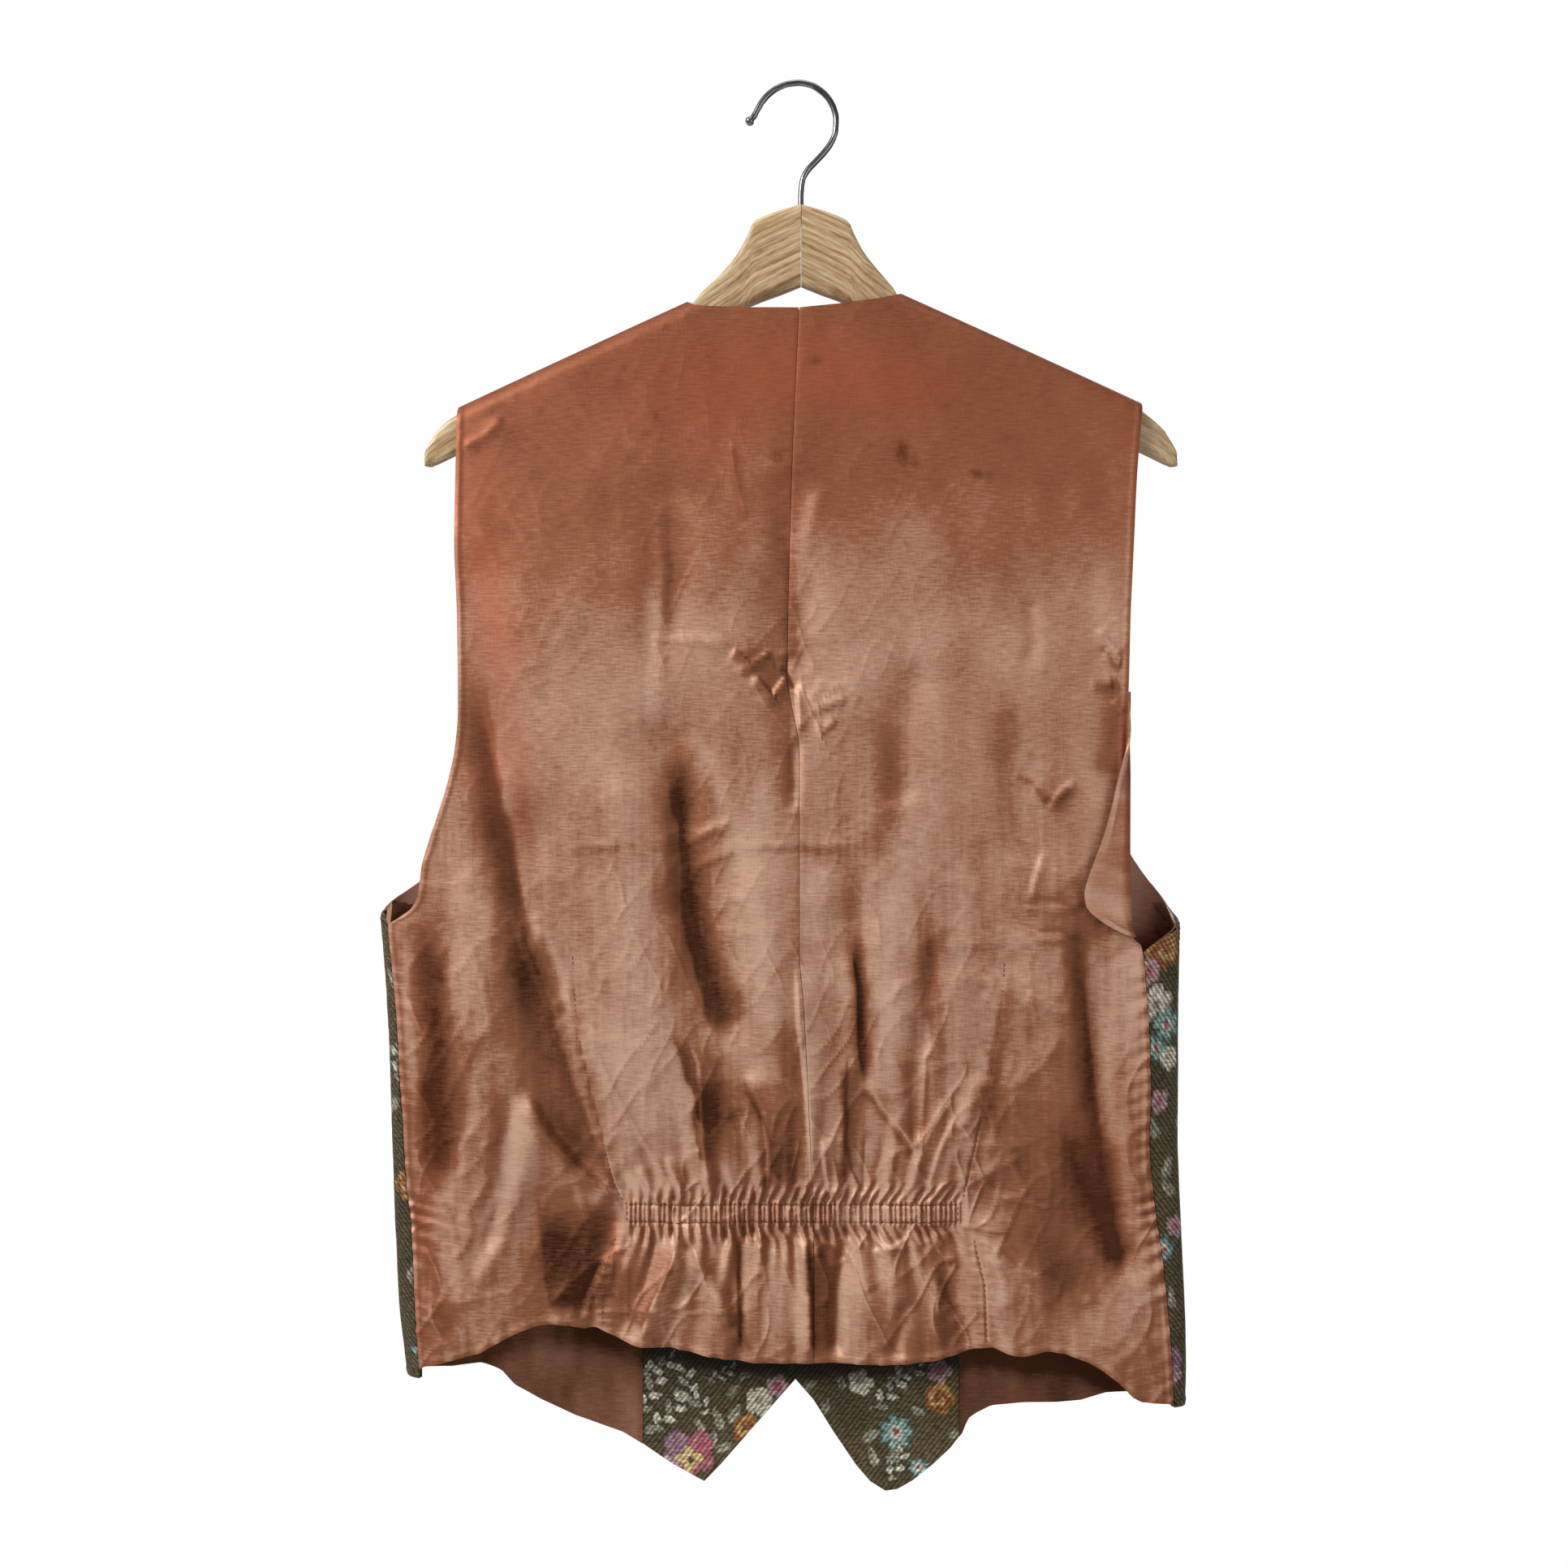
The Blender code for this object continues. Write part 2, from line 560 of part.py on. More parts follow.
def close_wall(name, outer, inner, material, collection):
    """One closed body from the rows of a cloth's two sides."""
    mesh = bmesh.new()
    sides = []
    for rows in (outer, inner):
        sides.append([[(share, mesh.verts.new(point * MM)) for share, point in row]
                      for row in rows])
        for upper, lower in zip(sides[-1][:-1], sides[-1][1:]):
            join_rows(mesh, upper, lower)
    for k in (0, -1):
        join_rows(mesh, sides[0][k], sides[1][k])
        for r in range(len(outer) - 1):
            mesh.faces.new((sides[0][r][k][1], sides[0][r + 1][k][1],
                            sides[1][r + 1][k][1], sides[1][r][k][1]))
    bmesh.ops.recalc_face_normals(mesh, faces=mesh.faces)
    data = bpy.data.meshes.new(name)
    mesh.to_mesh(data)
    mesh.free()
    data.shade_smooth()
    data.set_sharp_from_angle(angle=math.radians(60.0))
    data.materials.append(material)
    made = bpy.data.objects.new(name, data)
    collection.objects.link(made)
    return made


def wall_rows(point, side, rows, thickness):
    """Outer and inner rows of a cloth, with the normal at each of its points."""
    outer, inner, normals = [], [], []
    for heights in rows:
        normals.append([outward(point, share, z, side) for share, z in heights])
        outer.append([(share, point(share, z, side)) for share, z in heights])
        inner.append([(share, place - normal * thickness)
                      for (share, place), normal in zip(outer[-1], normals[-1])])
    return outer, inner, normals


def laid_inside(outer, normals, keep, nudge):
    """Rows of a cloth that lies inside a front, made from the front's own points."""
    near, far = [], []
    inset = FRONT_CLOTH + LAYER_GAP
    for row, facing in zip(outer, normals):
        picked = [(share, place, normal) for (share, place), normal in zip(row, facing)
                  if keep(share)]
        near.append([(share, place - normal * inset + nudge(share))
                     for share, place, normal in picked])
        far.append([(share, place - normal * (inset + INNER_CLOTH) + nudge(share))
                    for share, place, normal in picked])
    return near, far


def corner_share(line, x_corner):
    """Share of a section line's length where it passes a given x."""
    lengths = np.concatenate(([0.0], np.cumsum(np.hypot(*np.diff(line, axis=0).T))))
    way = np.sign(line[-1, 0] - line[0, 0])
    return float(np.interp(way * x_corner, way * line[:, 0], lengths) / lengths[-1])


def even_shares(count, corner):
    """Evenly spread shares, with the nearest one moved to the neck's corner."""
    shares = np.linspace(0.0, 1.0, count)
    inside = shares[1:-1]
    inside[int(np.argmin(np.abs(inside - corner)))] = corner
    return [float(share) for share in shares]


BACK_TURN_DROPS = (0.0, 1.0, 3.2, 7.0, 12.0)
BACK_UPPER = (-215.0, -250.0, -290.0, -325.0, -358.0, -376.0, -395.0, -413.0, -435.0, -452.0,
              -461.5, -470.0, -477.0, -483.0, -489.5, -495.0, -501.4, -520.0, -545.0, -570.0,
              -592.0, -610.0)
BACK_RIPPLED = (-624.0, -636.0)
BACK_RIBBED = (-644.5, BAND_TOP, -655.0, BAND_BOTTOM, -665.5)
BACK_SKIRT = (-675.0, -690.0, -704.0)
HEM_SHARES = (0.5, 1.0)
COARSE_COLUMNS = 13
CLOSE_COLUMNS = 22           # over the inner half of a panel, where the ripples are
WIDE_COLUMNS = 8             # over its outer half


def back_panel(side, material, collection):
    name = "back_left" if side < 0 else "back_right"
    coarse = even_shares(COARSE_COLUMNS, corner_share(back_line(-131.0, side),
                                                      NECK_POINT[side][0]))
    rippled = [0.5 * k / CLOSE_COLUMNS for k in range(CLOSE_COLUMNS)]
    rippled += [0.5 + 0.5 * k / WIDE_COLUMNS for k in range(WIDE_COLUMNS + 1)]
    tops = {s: settle_height(back_point, s, side, back_top, -140.0) for s in coarse}
    hems = {s: settle_height(back_point, s, side, lambda x: column(BACK_HEM, x, 1), -735.0)
            for s in rippled}
    rows = [[(s, tops[s] - drop) for s in coarse] for drop in BACK_TURN_DROPS]
    last = BACK_UPPER[0]
    rows.append([(s, 0.5 * (tops[s] - BACK_TURN_DROPS[-1]) + 0.5 * last) for s in coarse])
    rows += [[(s, z) for s in coarse] for z in BACK_UPPER]
    rows += [[(s, z) for s in rippled] for z in BACK_RIPPLED]
    ribs_from = len(rows)
    rows += [[(s, z) for s in rippled] for z in BACK_RIBBED + BACK_SKIRT]
    rows += [[(s, BACK_SKIRT[-1] + k * (hems[s] - BACK_SKIRT[-1])) for s in rippled]
             for k in HEM_SHARES]
    outer, inner, normals = wall_rows(back_point, side, rows, BACK_CLOTH)
    for r, z in enumerate(BACK_RIBBED):
        outer[ribs_from + r] = ribbed_row(side, z, rippled)
    if side > 0:
        for r, heights in enumerate(rows):
            turn_edge(outer[r], inner[r], normals[r][-1], side, heights[-1][1])
    return close_wall(name, outer, inner, material, collection)


def ribbed_row(side, z, shares):
    """One row of the gathers: a point on each ridge and in each groove."""
    line = back_line(z, side)
    start, end = line[0][0], line[-1][0]
    pitch = (BAND_RIGHT - BAND_LEFT) / RIB_COUNT
    points = []
    for k in range(2 * RIB_COUNT + 1):
        share = (BAND_LEFT + 0.5 * k * pitch - start) / (end - start)
        if 0.008 < share < 0.97:
            points.append((share, 1.0 if k % 2 else 0.0))
    reach = max(share for share, _ in points)
    points += [(share, 0.0) for share in shares if share > reach + 0.01 or share == 0.0]
    row = []
    for share, lift in sorted(points):
        place = back_point(share, z, side)
        normal = outward(back_point, share, z, side)
        row.append((share, place + normal * lift * rib_height(place[0], z)))
    return row


def turn_edge(outer_row, inner_row, normal, side, z):
    """Adds the folded-over armhole edge to the end of a row."""
    edge = outer_row[-1][1]
    tangent = edge - back_point(0.99, z, side)
    tangent /= np.linalg.norm(tangent)
    normal = normal - tangent * np.dot(normal, tangent)
    normal /= np.linalg.norm(normal)
    for k, (place, facing) in enumerate(flap_points(edge, tangent, normal, z)):
        share = 1.0 + 0.01 * (k + 1)
        outer_row.append((share, place))
        inner_row.append((share, place - facing * BACK_CLOTH))


FRONT_LEVELS = (0.0, 0.003, 0.01, 0.022, 0.038, 0.09, 0.18, 0.29, 0.40, 0.51, 0.62, 0.71,
                0.785, 0.825, 0.86, 0.886, 0.912, 0.9245, 0.9365, 0.951, 0.972, 1.0)
FRONT_JOIN = -520.0
FRONT_LOWER = (-545.0, -570.0, -592.0, -610.0, -636.0, -650.0, -660.0, -675.0, -704.0)
FRONT_HEM_SHARES = (0.5, 1.0)
LINING_COLUMNS = 8
FACING_SHARES = (0.6, 0.8, 1.0)


def front_rows(side, shares):
    """Heights of a front's rows: fanned from its top line, level, then to its hem."""
    tops = {s: settle_height(front_point, s, side, lambda x: front_top(x, side), -160.0)
            for s in shares}
    hems = {s: settle_height(front_point, s, side, lambda x: column(FRONT_HEM[side], x, 1),
                             -770.0) for s in shares}
    rows = [[(s, tops[s] + k * (FRONT_JOIN - tops[s])) for s in shares] for k in FRONT_LEVELS]
    rows += [[(s, z) for s in shares] for z in FRONT_LOWER]
    last = FRONT_LOWER[-1]
    rows += [[(s, last + k * (hems[s] - last)) for s in shares] for k in FRONT_HEM_SHARES]
    return rows


def front_pieces(side, materials, collection):
    """A front, and the lining and facing laid inside it edge to edge."""
    word = "left" if side < 0 else "right"
    inner_part = front_parts(-131.0, side)[1]
    shares = [float(s) for s in np.linspace(0.0, 1.0, LINING_COLUMNS)]
    neck = corner_share(inner_part, NECK_POINT[side][0])
    tip = corner_share(front_parts(FRONT_JOIN, side)[1], FRONT_TIP[side])
    shares += [1.0 + s for s in sorted({0.18, tip, neck, *FACING_SHARES})]
    outer, inner, normals = wall_rows(front_point, side, front_rows(side, shares), FRONT_CLOTH)
    close_wall("front_" + word, outer, inner, materials["tapestry"], collection)
    half_gap = np.array((side * 0.5 * SEAM_GAP, 0.0, 0.0))
    near, far = laid_inside(outer, normals, lambda s: s <= 1.0,
                            lambda s: half_gap * (s == 1.0))
    close_wall("lining_" + word, near, far, materials["lining"], collection)
    near, far = laid_inside(outer, normals, lambda s: s >= 1.0,
                            lambda s: -half_gap * (s == 1.0))
    close_wall("facing_" + word, near, far, materials["tapestry"], collection)


def wood_section(reach, top_left, top_right, bottom, side):
    """Rounded rectangle across the hanger's arm at one distance from the middle."""
    top = top_left if side < 0 else top_right
    half = 0.5 * HANGER_THICKNESS
    lean = HANGER_LEAN * (2.0 * reach / HANGER_SPAN) ** 2
    bend = min(WOOD_ROUND, 0.45 * (top - bottom))
    corners = ((half, top, 1, 1), (-half, top, -1, 1), (-half, bottom, -1, -1),
               (half, bottom, 1, -1))
    first_angle = (0.0, 90.0, 180.0, 270.0)
    points = []
    for (y, z, way_y, way_z), start in zip(corners, first_angle):
        for step in (0.0, 45.0, 90.0):
            angle = math.radians(start + step)
            points.append((side * reach,
                           lean + y - way_y * bend + bend * math.cos(angle),
                           z - way_z * bend + bend * math.sin(angle)))
    return points


def hanger_half(side, cutter, material, collection):
    name = "hanger_left" if side < 0 else "hanger_right"
    mesh = bmesh.new()
    rings = [[mesh.verts.new(np.array(point) * MM) for point in wood_section(*row, side)]
             for row in WOOD]
    for near, far in zip(rings[:-1], rings[1:]):
        for k in range(len(near)):
            nxt = (k + 1) % len(near)
            mesh.faces.new((near[k], near[nxt], far[nxt], far[k]))
    mesh.faces.new(rings[0])
    mesh.faces.new(rings[-1])
    bmesh.ops.recalc_face_normals(mesh, faces=mesh.faces)
    data = bpy.data.meshes.new(name)
    mesh.to_mesh(data)
    mesh.free()
    data.shade_smooth()
    data.set_sharp_from_angle(angle=math.radians(40.0))
    data.materials.append(material)
    made = bpy.data.objects.new(name, data)
    collection.objects.link(made)
    bore = made.modifiers.new("hook bore", "BOOLEAN")
    bore.operation = "DIFFERENCE"
    bore.object = cutter
    return made


def hook_cutter(collection):
    top, bottom = WOOD[0][1] + 6.0, WOOD[0][1] - HOOK_DEPTH - SEAM_GAP
    mesh = bmesh.new()
    bmesh.ops.create_cone(mesh, cap_ends=True, segments=12, radius1=HOOK_BORE * MM,
                          radius2=HOOK_BORE * MM, depth=(top - bottom) * MM)
    data = bpy.data.meshes.new("hook_bore")
    mesh.to_mesh(data)
    mesh.free()
    cutter = bpy.data.objects.new("hook_bore", data)
    cutter.location = (0.0, 0.0, 0.5 * (top + bottom) * MM)
    cutter.hide_render = True
    cutter.display_type = "WIRE"
    collection.objects.link(cutter)
    return cutter


def make_hook(material, collection):
    curve = bpy.data.curves.new("hook", "CURVE")
    curve.dimensions = "3D"
    curve.bevel_depth = 0.5 * HOOK_WIRE * MM
    curve.bevel_resolution = 1
    curve.use_fill_caps = True
    path = list(HOOK_PATH) + [(0.0, WOOD[0][1] - HOOK_DEPTH)]
    spline = curve.splines.new("POLY")
    spline.points.add(len(path) - 1)
    for point, (x, z) in zip(spline.points, path):
        point.co = (x * MM, 0.0, z * MM, 1.0)
    curve.materials.append(material)
    made = bpy.data.objects.new("hook", curve)
    collection.objects.link(made)
    return made


def make_button(number, material, collection):
    """A turned disc with a raised rim, flat against the lapped front."""
    name = "button_%d" % number
    radius, thick = 0.5 * BUTTON_DIAMETER, BUTTON_THICKNESS
    profile = ((0.0, thick - 1.0), (radius - 3.6, thick - 1.0), (radius - 2.4, thick),
               (radius - 0.9, thick), (radius, thick - 0.9), (radius, 0.8),
               (radius - 0.8, 0.0), (0.0, 0.0))
    data = bpy.data.meshes.new(name)
    data.from_pydata([(r * MM, 0.0, h * MM) for r, h in profile],
                     [(k, k + 1) for k in range(len(profile) - 1)], [])
    data.materials.append(material)
    made = bpy.data.objects.new(name, data)
    turn = made.modifiers.new("turned", "SCREW")
    turn.steps = turn.render_steps = 14
    turn.use_merge_vertices = True
    turn.merge_threshold = 0.00001
    height = BUTTON_TOP - BUTTON_STEP * (number - 1)
    front = max(face_depth(x, height + up, 1) + lap_step(x, height + up, -1)
                for x in (-8.0, -2.0, 4.0) for up in (-8.0, 0.0, 8.0))
    made.location = (-2.0 * MM, (front + SEAM_GAP) * MM, height * MM)
    made.rotation_euler = (math.radians(-90.0), 0.0, 0.0)
    collection.objects.link(made)
    return made


def main():
    start_clean()
    parts, cutters = make_collections()
    materials = {name: make_material(name) for name in COLOURS}
    for side in (-1, 1):
        back_panel(side, materials["satin"], parts)
        front_pieces(side, materials, parts)
    cutter = hook_cutter(cutters)
    for side in (-1, 1):
        hanger_half(side, cutter, materials["oak"], parts)
    make_hook(materials["steel"], parts)
    for number in range(1, BUTTON_COUNT + 1):
        make_button(number, materials["button"], parts)


main()
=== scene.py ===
# Waistcoat on a clothes hanger: cloth, wood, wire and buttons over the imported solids.
# Lengths are in millimetres until a mesh is made. +Z is up, +Y is the garment's front and
# +X the wearer's right; the rail carries the hook at the origin. The photo sees the back.
import math

import bpy
import numpy as np
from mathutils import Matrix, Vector


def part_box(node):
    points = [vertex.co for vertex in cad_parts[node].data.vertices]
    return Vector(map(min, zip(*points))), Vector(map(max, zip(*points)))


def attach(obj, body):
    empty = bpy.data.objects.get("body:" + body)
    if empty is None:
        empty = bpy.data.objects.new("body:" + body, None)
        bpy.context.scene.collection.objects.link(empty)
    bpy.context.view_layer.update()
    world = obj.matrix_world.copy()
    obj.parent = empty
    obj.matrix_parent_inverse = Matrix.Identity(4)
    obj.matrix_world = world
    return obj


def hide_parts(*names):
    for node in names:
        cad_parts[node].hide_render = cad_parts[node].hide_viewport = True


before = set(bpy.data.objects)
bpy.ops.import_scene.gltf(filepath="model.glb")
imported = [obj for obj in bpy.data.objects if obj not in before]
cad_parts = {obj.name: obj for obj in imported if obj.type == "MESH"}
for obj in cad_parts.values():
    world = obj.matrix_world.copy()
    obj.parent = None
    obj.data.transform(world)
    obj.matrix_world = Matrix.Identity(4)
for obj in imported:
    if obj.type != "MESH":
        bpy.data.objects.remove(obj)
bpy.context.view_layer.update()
mm = 0.001
seamGap = 0.3
print("frame loaded:", len(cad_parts), "nodes")


# sRGB hex to linear red, green and blue.
def linear(hexColour):
    value = np.array([int(hexColour[k:k + 2], 16) for k in (0, 2, 4)]) / 255.0
    return np.where(value <= 0.04045, value / 12.92, ((value + 0.055) / 1.055) ** 2.4)


# Each input is a number or colour for the node's own socket, or a socket to link.
def setInputs(tree, node, inputs):
    for name, value in inputs.items():
        if isinstance(value, bpy.types.NodeSocket):
            tree.links.new(value, node.inputs[name])
        else:
            node.inputs[name].default_value = value


# One shader node with its settings and links.
def add(tree, kind, inputs=None, **settings):
    node = tree.nodes.new("ShaderNode" + kind)
    for name, value in settings.items():
        setattr(node, name, value)
    setInputs(tree, node, inputs or {})
    return node


def newMaterial(name):
    material = bpy.data.materials.new(name)
    material.use_nodes = True
    return material, material.node_tree


# The last step of a material: what goes into its shader.
def finishShader(tree, inputs):
    setInputs(tree, tree.nodes["Principled BSDF"], inputs)


def ease(t):
    t = np.clip(t, 0.0, 1.0)
    return t * t * (3.0 - 2.0 * t)


# Smooth curve through a table's column that never overshoots its points.
def glide(table, at, column):
    rows = np.array(sorted(table), float)
    xs, ys = rows[:, 0], rows[:, column]
    slopes = np.diff(ys) / np.diff(xs)
    before, after = slopes[:-1], slopes[1:]
    sameWay = before * after > 0.0
    safeSum = np.where(sameWay, before + after, 1.0)
    middle = np.where(sameWay, 2.0 * before * after / safeSum, 0.0)
    tangents = np.concatenate((slopes[:1], middle, slopes[-1:]))
    at = np.clip(at, xs[0], xs[-1])
    k = np.clip(np.searchsorted(xs, at) - 1, 0, len(xs) - 2)
    step = xs[k + 1] - xs[k]
    t = (at - xs[k]) / step
    rise = t * t * (3.0 - 2.0 * t)
    lead, lag = t * (1.0 - t) ** 2, t * t * (t - 1.0)
    return (ys[k] + rise * (ys[k + 1] - ys[k])
            + step * (lead * tangents[k] + lag * tangents[k + 1]))


def straight(table, at, column):
    rows = np.array(sorted(table), float)
    return np.interp(at, rows[:, 0], rows[:, column])


# The garment's form, the same sizes as its solids

# height, left fold, right fold, depth of the back and of the front from the middle plane
ring = (
    (-120, -264, 264, 14, 15), (-250, -264, 258, 19, 19), (-350, -260, 246, 23, 22),
    (-440, -251.5, 230, 25.5, 22.5), (-489, -245, 221, 26, 22.5),
    (-519, -242.4, 220.1, 26, 22), (-566, -239.6, 219.6, 25, 21),
    (-614, -238.1, 219.6, 22, 20), (-655, -236.9, 221, 18, 19),
    (-685, -235.6, 222.4, 21.5, 18.5), (-709, -234.4, 223.4, 24, 18.5),
    (-740, -231, 223.9, 26, 18), (-768, -227, 223.4, 26.5, 18), (-830, -226, 222, 26.5, 17),
)
form = {
    "squareness": 3.5,           # of the ring; an ellipse is 2
    "hangerSpan": 445.0,
    "hangerLean": 8.0,           # the wood's tips bend this far to the front
    "leanFade": 120.0,
    "shoulderRound": 12.0,       # the cloth turns over the wood within this drop
    "backDepth": 12.5,           # at the shoulder
    "frontDepth": 15.0,
    "settle": 190.0,             # drop in which the depth leaves the wood's
    "backCloth": 1.2,
    "frontCloth": 1.4,
    "innerCloth": 1.0,
    "layerGap": 0.45,
    "innerAir": 0.12,
    "sideSeamGap": 0.5,
    "creaseScale": 1.6,          # over the heights in the tables of creases
    "settleTurns": 16,           # of the halving that finds where a column meets an outline
}
sideWord = {-1: "Left", 1: "Right"}
neckPoint = {-1: (-67.4, -126.8), 1: (59.3, -122.2)}
shoulderTip = {-1: (-201.1, -186.9), 1: (202.1, -185.4)}
backNeck = (  # x, height
    (-67.4, -126.8), (-62, -130.4), (-56.1, -131.4), (-35.4, -132.4), (-1.2, -132.6),
    (20.6, -130.4), (47, -126.8), (54.5, -124.6), (59.3, -122.2),
)
backEdge = {  # height, x: armhole, then side seam
    -1: (
        (-180, -200.6), (-227, -200.9), (-264, -200.9), (-311, -198.6), (-367, -197.2),
        (-386, -198.6), (-405, -202.3), (-424, -208), (-443, -214.5), (-455, -218),
        (-466, -219.4), (-473, -220.6), (-478, -223), (-484, -229.5), (-489.5, -238.6),
        (-513.5, -236.5), (-543.6, -233.7), (-572.8, -232.3), (-603, -230.4),
        (-641, -228.5), (-658.5, -226.1), (-701, -223.3), (-728, -221.9), (-747, -220),
    ),
    1: (
        (-180, 199.9), (-227, 195.1), (-264, 192.5), (-311, 189.5), (-358, 187.6),
        (-377, 186.2), (-440, 185.6), (-489, 186.6), (-495, 188.5), (-501.4, 195.4),
        (-537, 198.7), (-561.5, 200.4), (-588, 201), (-615, 200.4), (-633.6, 202),
        (-656.6, 204.8), (-679.7, 208.1), (-702.8, 210.4), (-725.9, 212.6), (-749, 214.2),
        (-767, 214.7),
    ),
}
turnedEdge = (  # height, width past the fold, degrees turned
    (-358, 0.4, 20), (-385, 3.5, 110), (-395, 5, 140), (-413, 7.5, 172), (-435, 13, 174),
    (-452, 19.5, 175), (-461.5, 23.5, 175), (-470, 26, 176), (-477, 25, 176),
    (-483, 20, 174), (-489.5, 11, 160), (-495, 0.6, 150),
)
frontArmhole = {  # height, x, face (1 front, -1 round at the back)
    -1: (
        (-186, -200.6, 1), (-230, -190, 1), (-280, -184, 1), (-340, -182, 1),
        (-385, -185.5, 1), (-415, -192.5, 1), (-440, -205, 1), (-465, -223.5, 1),
        (-472, -234.5, 1), (-480, -244.2, 1), (-484.5, -245.4, -1), (-490.5, -239.6, -1),
    ),
    1: (
        (-184.5, 201.6, 1), (-230, 187, 1), (-280, 180, 1), (-340, 177, 1),
        (-385, 179, 1), (-420, 184, 1), (-441, 190, 1), (-453, 197.2, 1),
        (-463, 204, 1), (-472, 211.4, 1), (-482, 217.6, 1), (-489, 220.9, -1),
        (-496, 212, -1), (-503, 197.6, -1),
    ),
}
frontEdge = {-1: 10.0, 1: -14.0}      # the left front laps over the right one
vBottom = -455.0
lap = {"lift": 1.9, "spread": 80.0, "from": -320.0, "fall": 60.0}
backHem = (  # x, height
    (-222, -747), (-217.3, -743.6), (-208, -741.3), (-198.7, -738.1), (-184.8, -734.4),
    (-170.8, -726.4), (-161.5, -721.8), (-152.2, -718.5), (-142.9, -717.6),
    (-133.6, -718.5), (-124.3, -720.4), (-117.4, -719.5), (-110.4, -721.8),
    (-101.1, -726), (-92.3, -728.8), (-73.2, -729.7), (-54.6, -734.4), (-40.6, -737.1),
    (-26.7, -738.5), (7.2, -738.8), (45.4, -739.5), (57, -738.5), (75.6, -737.6),
    (89.5, -733.9), (98.8, -730.6), (109.1, -729.7), (117.4, -733), (126.7, -734.8),
    (140.7, -732.5), (150, -733.9), (163.9, -739), (173.2, -744.6), (183.4, -752.5),
    (189.5, -759.5), (195.5, -763), (211.8, -765), (216, -767),
)
frontHem = {  # x, height
    -1: (
        (-228, -750.5), (-206.1, -751.4), (-188.7, -749.5), (-177.6, -753.8),
        (-169.4, -763), (-153.4, -772.2), (-133.1, -781.8), (-105.6, -791.5),
        (-93.5, -798.8), (-75.7, -810.8), (-57.3, -821), (-47.2, -810.8), (-38.9, -801.2),
        (-21.6, -781.8), (-2.7, -760.6), (10, -747),
    ),
    1: (
        (-14, -748), (-2.7, -760.6), (7.4, -772.2), (19.5, -791.5), (32.5, -810.8),
        (40.8, -820.5), (49.9, -826.3), (57, -825.4), (65.9, -820.5), (78.4, -810.8),
        (88.6, -801.2), (96.3, -791.5), (98.6, -784.3), (103.1, -780.9), (112.7, -776),
        (132, -774.1), (151.4, -773.6), (165.4, -772.2), (180.3, -767.4), (192.4, -766.6),
        (224, -768),
    ),
}
centreSeam = (  # height, x
    (-128, -1.2), (-238, -5.8), (-345, -8.1), (-391, -1.2), (-503, -1.2), (-535, 1.2),
    (-632, 5.8), (-670, 7.2), (-760, 7.2),
)
facingEdge = {  # height, x of the facing's inner edge
    -1: ((-150, -118), (-300, -102), (-450, -94), (-830, -93.5)),
    1: ((-150, 110), (-300, 100), (-450, 94), (-830, 93.5)),
}
band = {"top": -650.0, "bottom": -660.0, "left": -100.0, "right": 90.0, "ribs": 66}

# Largest folds, as in the solids: x and height at the top, at the foot, half width, height
backFolds = (
    (-192, -290, -160, -440, 20, -2.6), (-160, -440, -142, -530, 20, -3.6),
    (-142, -530, -118, -640, 18, -3.2), (-176, -420, -172, -640, 24, 3),
    (-76, -245, -78, -320, 14, -2.2), (-76, -385, -66, -480, 18, -4),
    (-66, -480, -34, -575, 18, -4), (-96, -420, -84, -560, 22, 2.6),
    (-6, -240, -6, -350, 14, -2.4), (-22, -470, -4, -620, 18, 2.6),
    (28, -490, 36, -630, 14, -3.2), (60, -400, 50, -520, 24, 2.6),
    (118, -400, 116, -510, 16, -2.4), (140, -470, 142, -640, 26, 3),
    (170, -500, 172, -700, 15, -3.6), (192, -520, 196, -700, 12, 2.2),
    (-213, -500, -211, -640, 12, -3), (-150, -655, -140, -706, 20, -3),
    (-109, -662, -121, -720, 8, -4.5), (-72, -668, -92, -730, 8, 4),
    (-62, -668, -40, -726, 8, 3.6), (-36, -668, -37, -740, 6, -2.6),
    (20, -668, 19, -740, 7, -3.2), (52, -668, 56, -740, 9, 3),
    (84, -665, 92, -735, 8, -3), (110, -665, 122, -735, 10, 3),
    (158, -655, 160, -715, 18, -2.6),
)
frontFolds = (
    (-170, -430, -150, -640, 22, -2.6), (-110, -480, -104, -700, 24, 2.4),
    (-56, -430, -70, -600, 18, -2), (54, -450, 66, -640, 18, -2.2),
    (112, -470, 108, -700, 24, 2.4), (166, -440, 160, -650, 22, -2.6),
)

photo = {
    "origin": (987.5, 86.7),     # pixel of the rail's place, seen at the back's depth
    "scale": 0.464,              # mm for one pixel there
}


# Points read from the photo, x and y pixel in turn, to the nearest whole millimetre.
def photoLine(pairs):
    across, up = photo["scale"], -photo["scale"]
    return np.round((np.reshape(pairs, (-1, 2)) - photo["origin"]) * (across, up))


def readRows(rows):
    return [(*row[:3], photoLine(row[3:])) for row in rows]


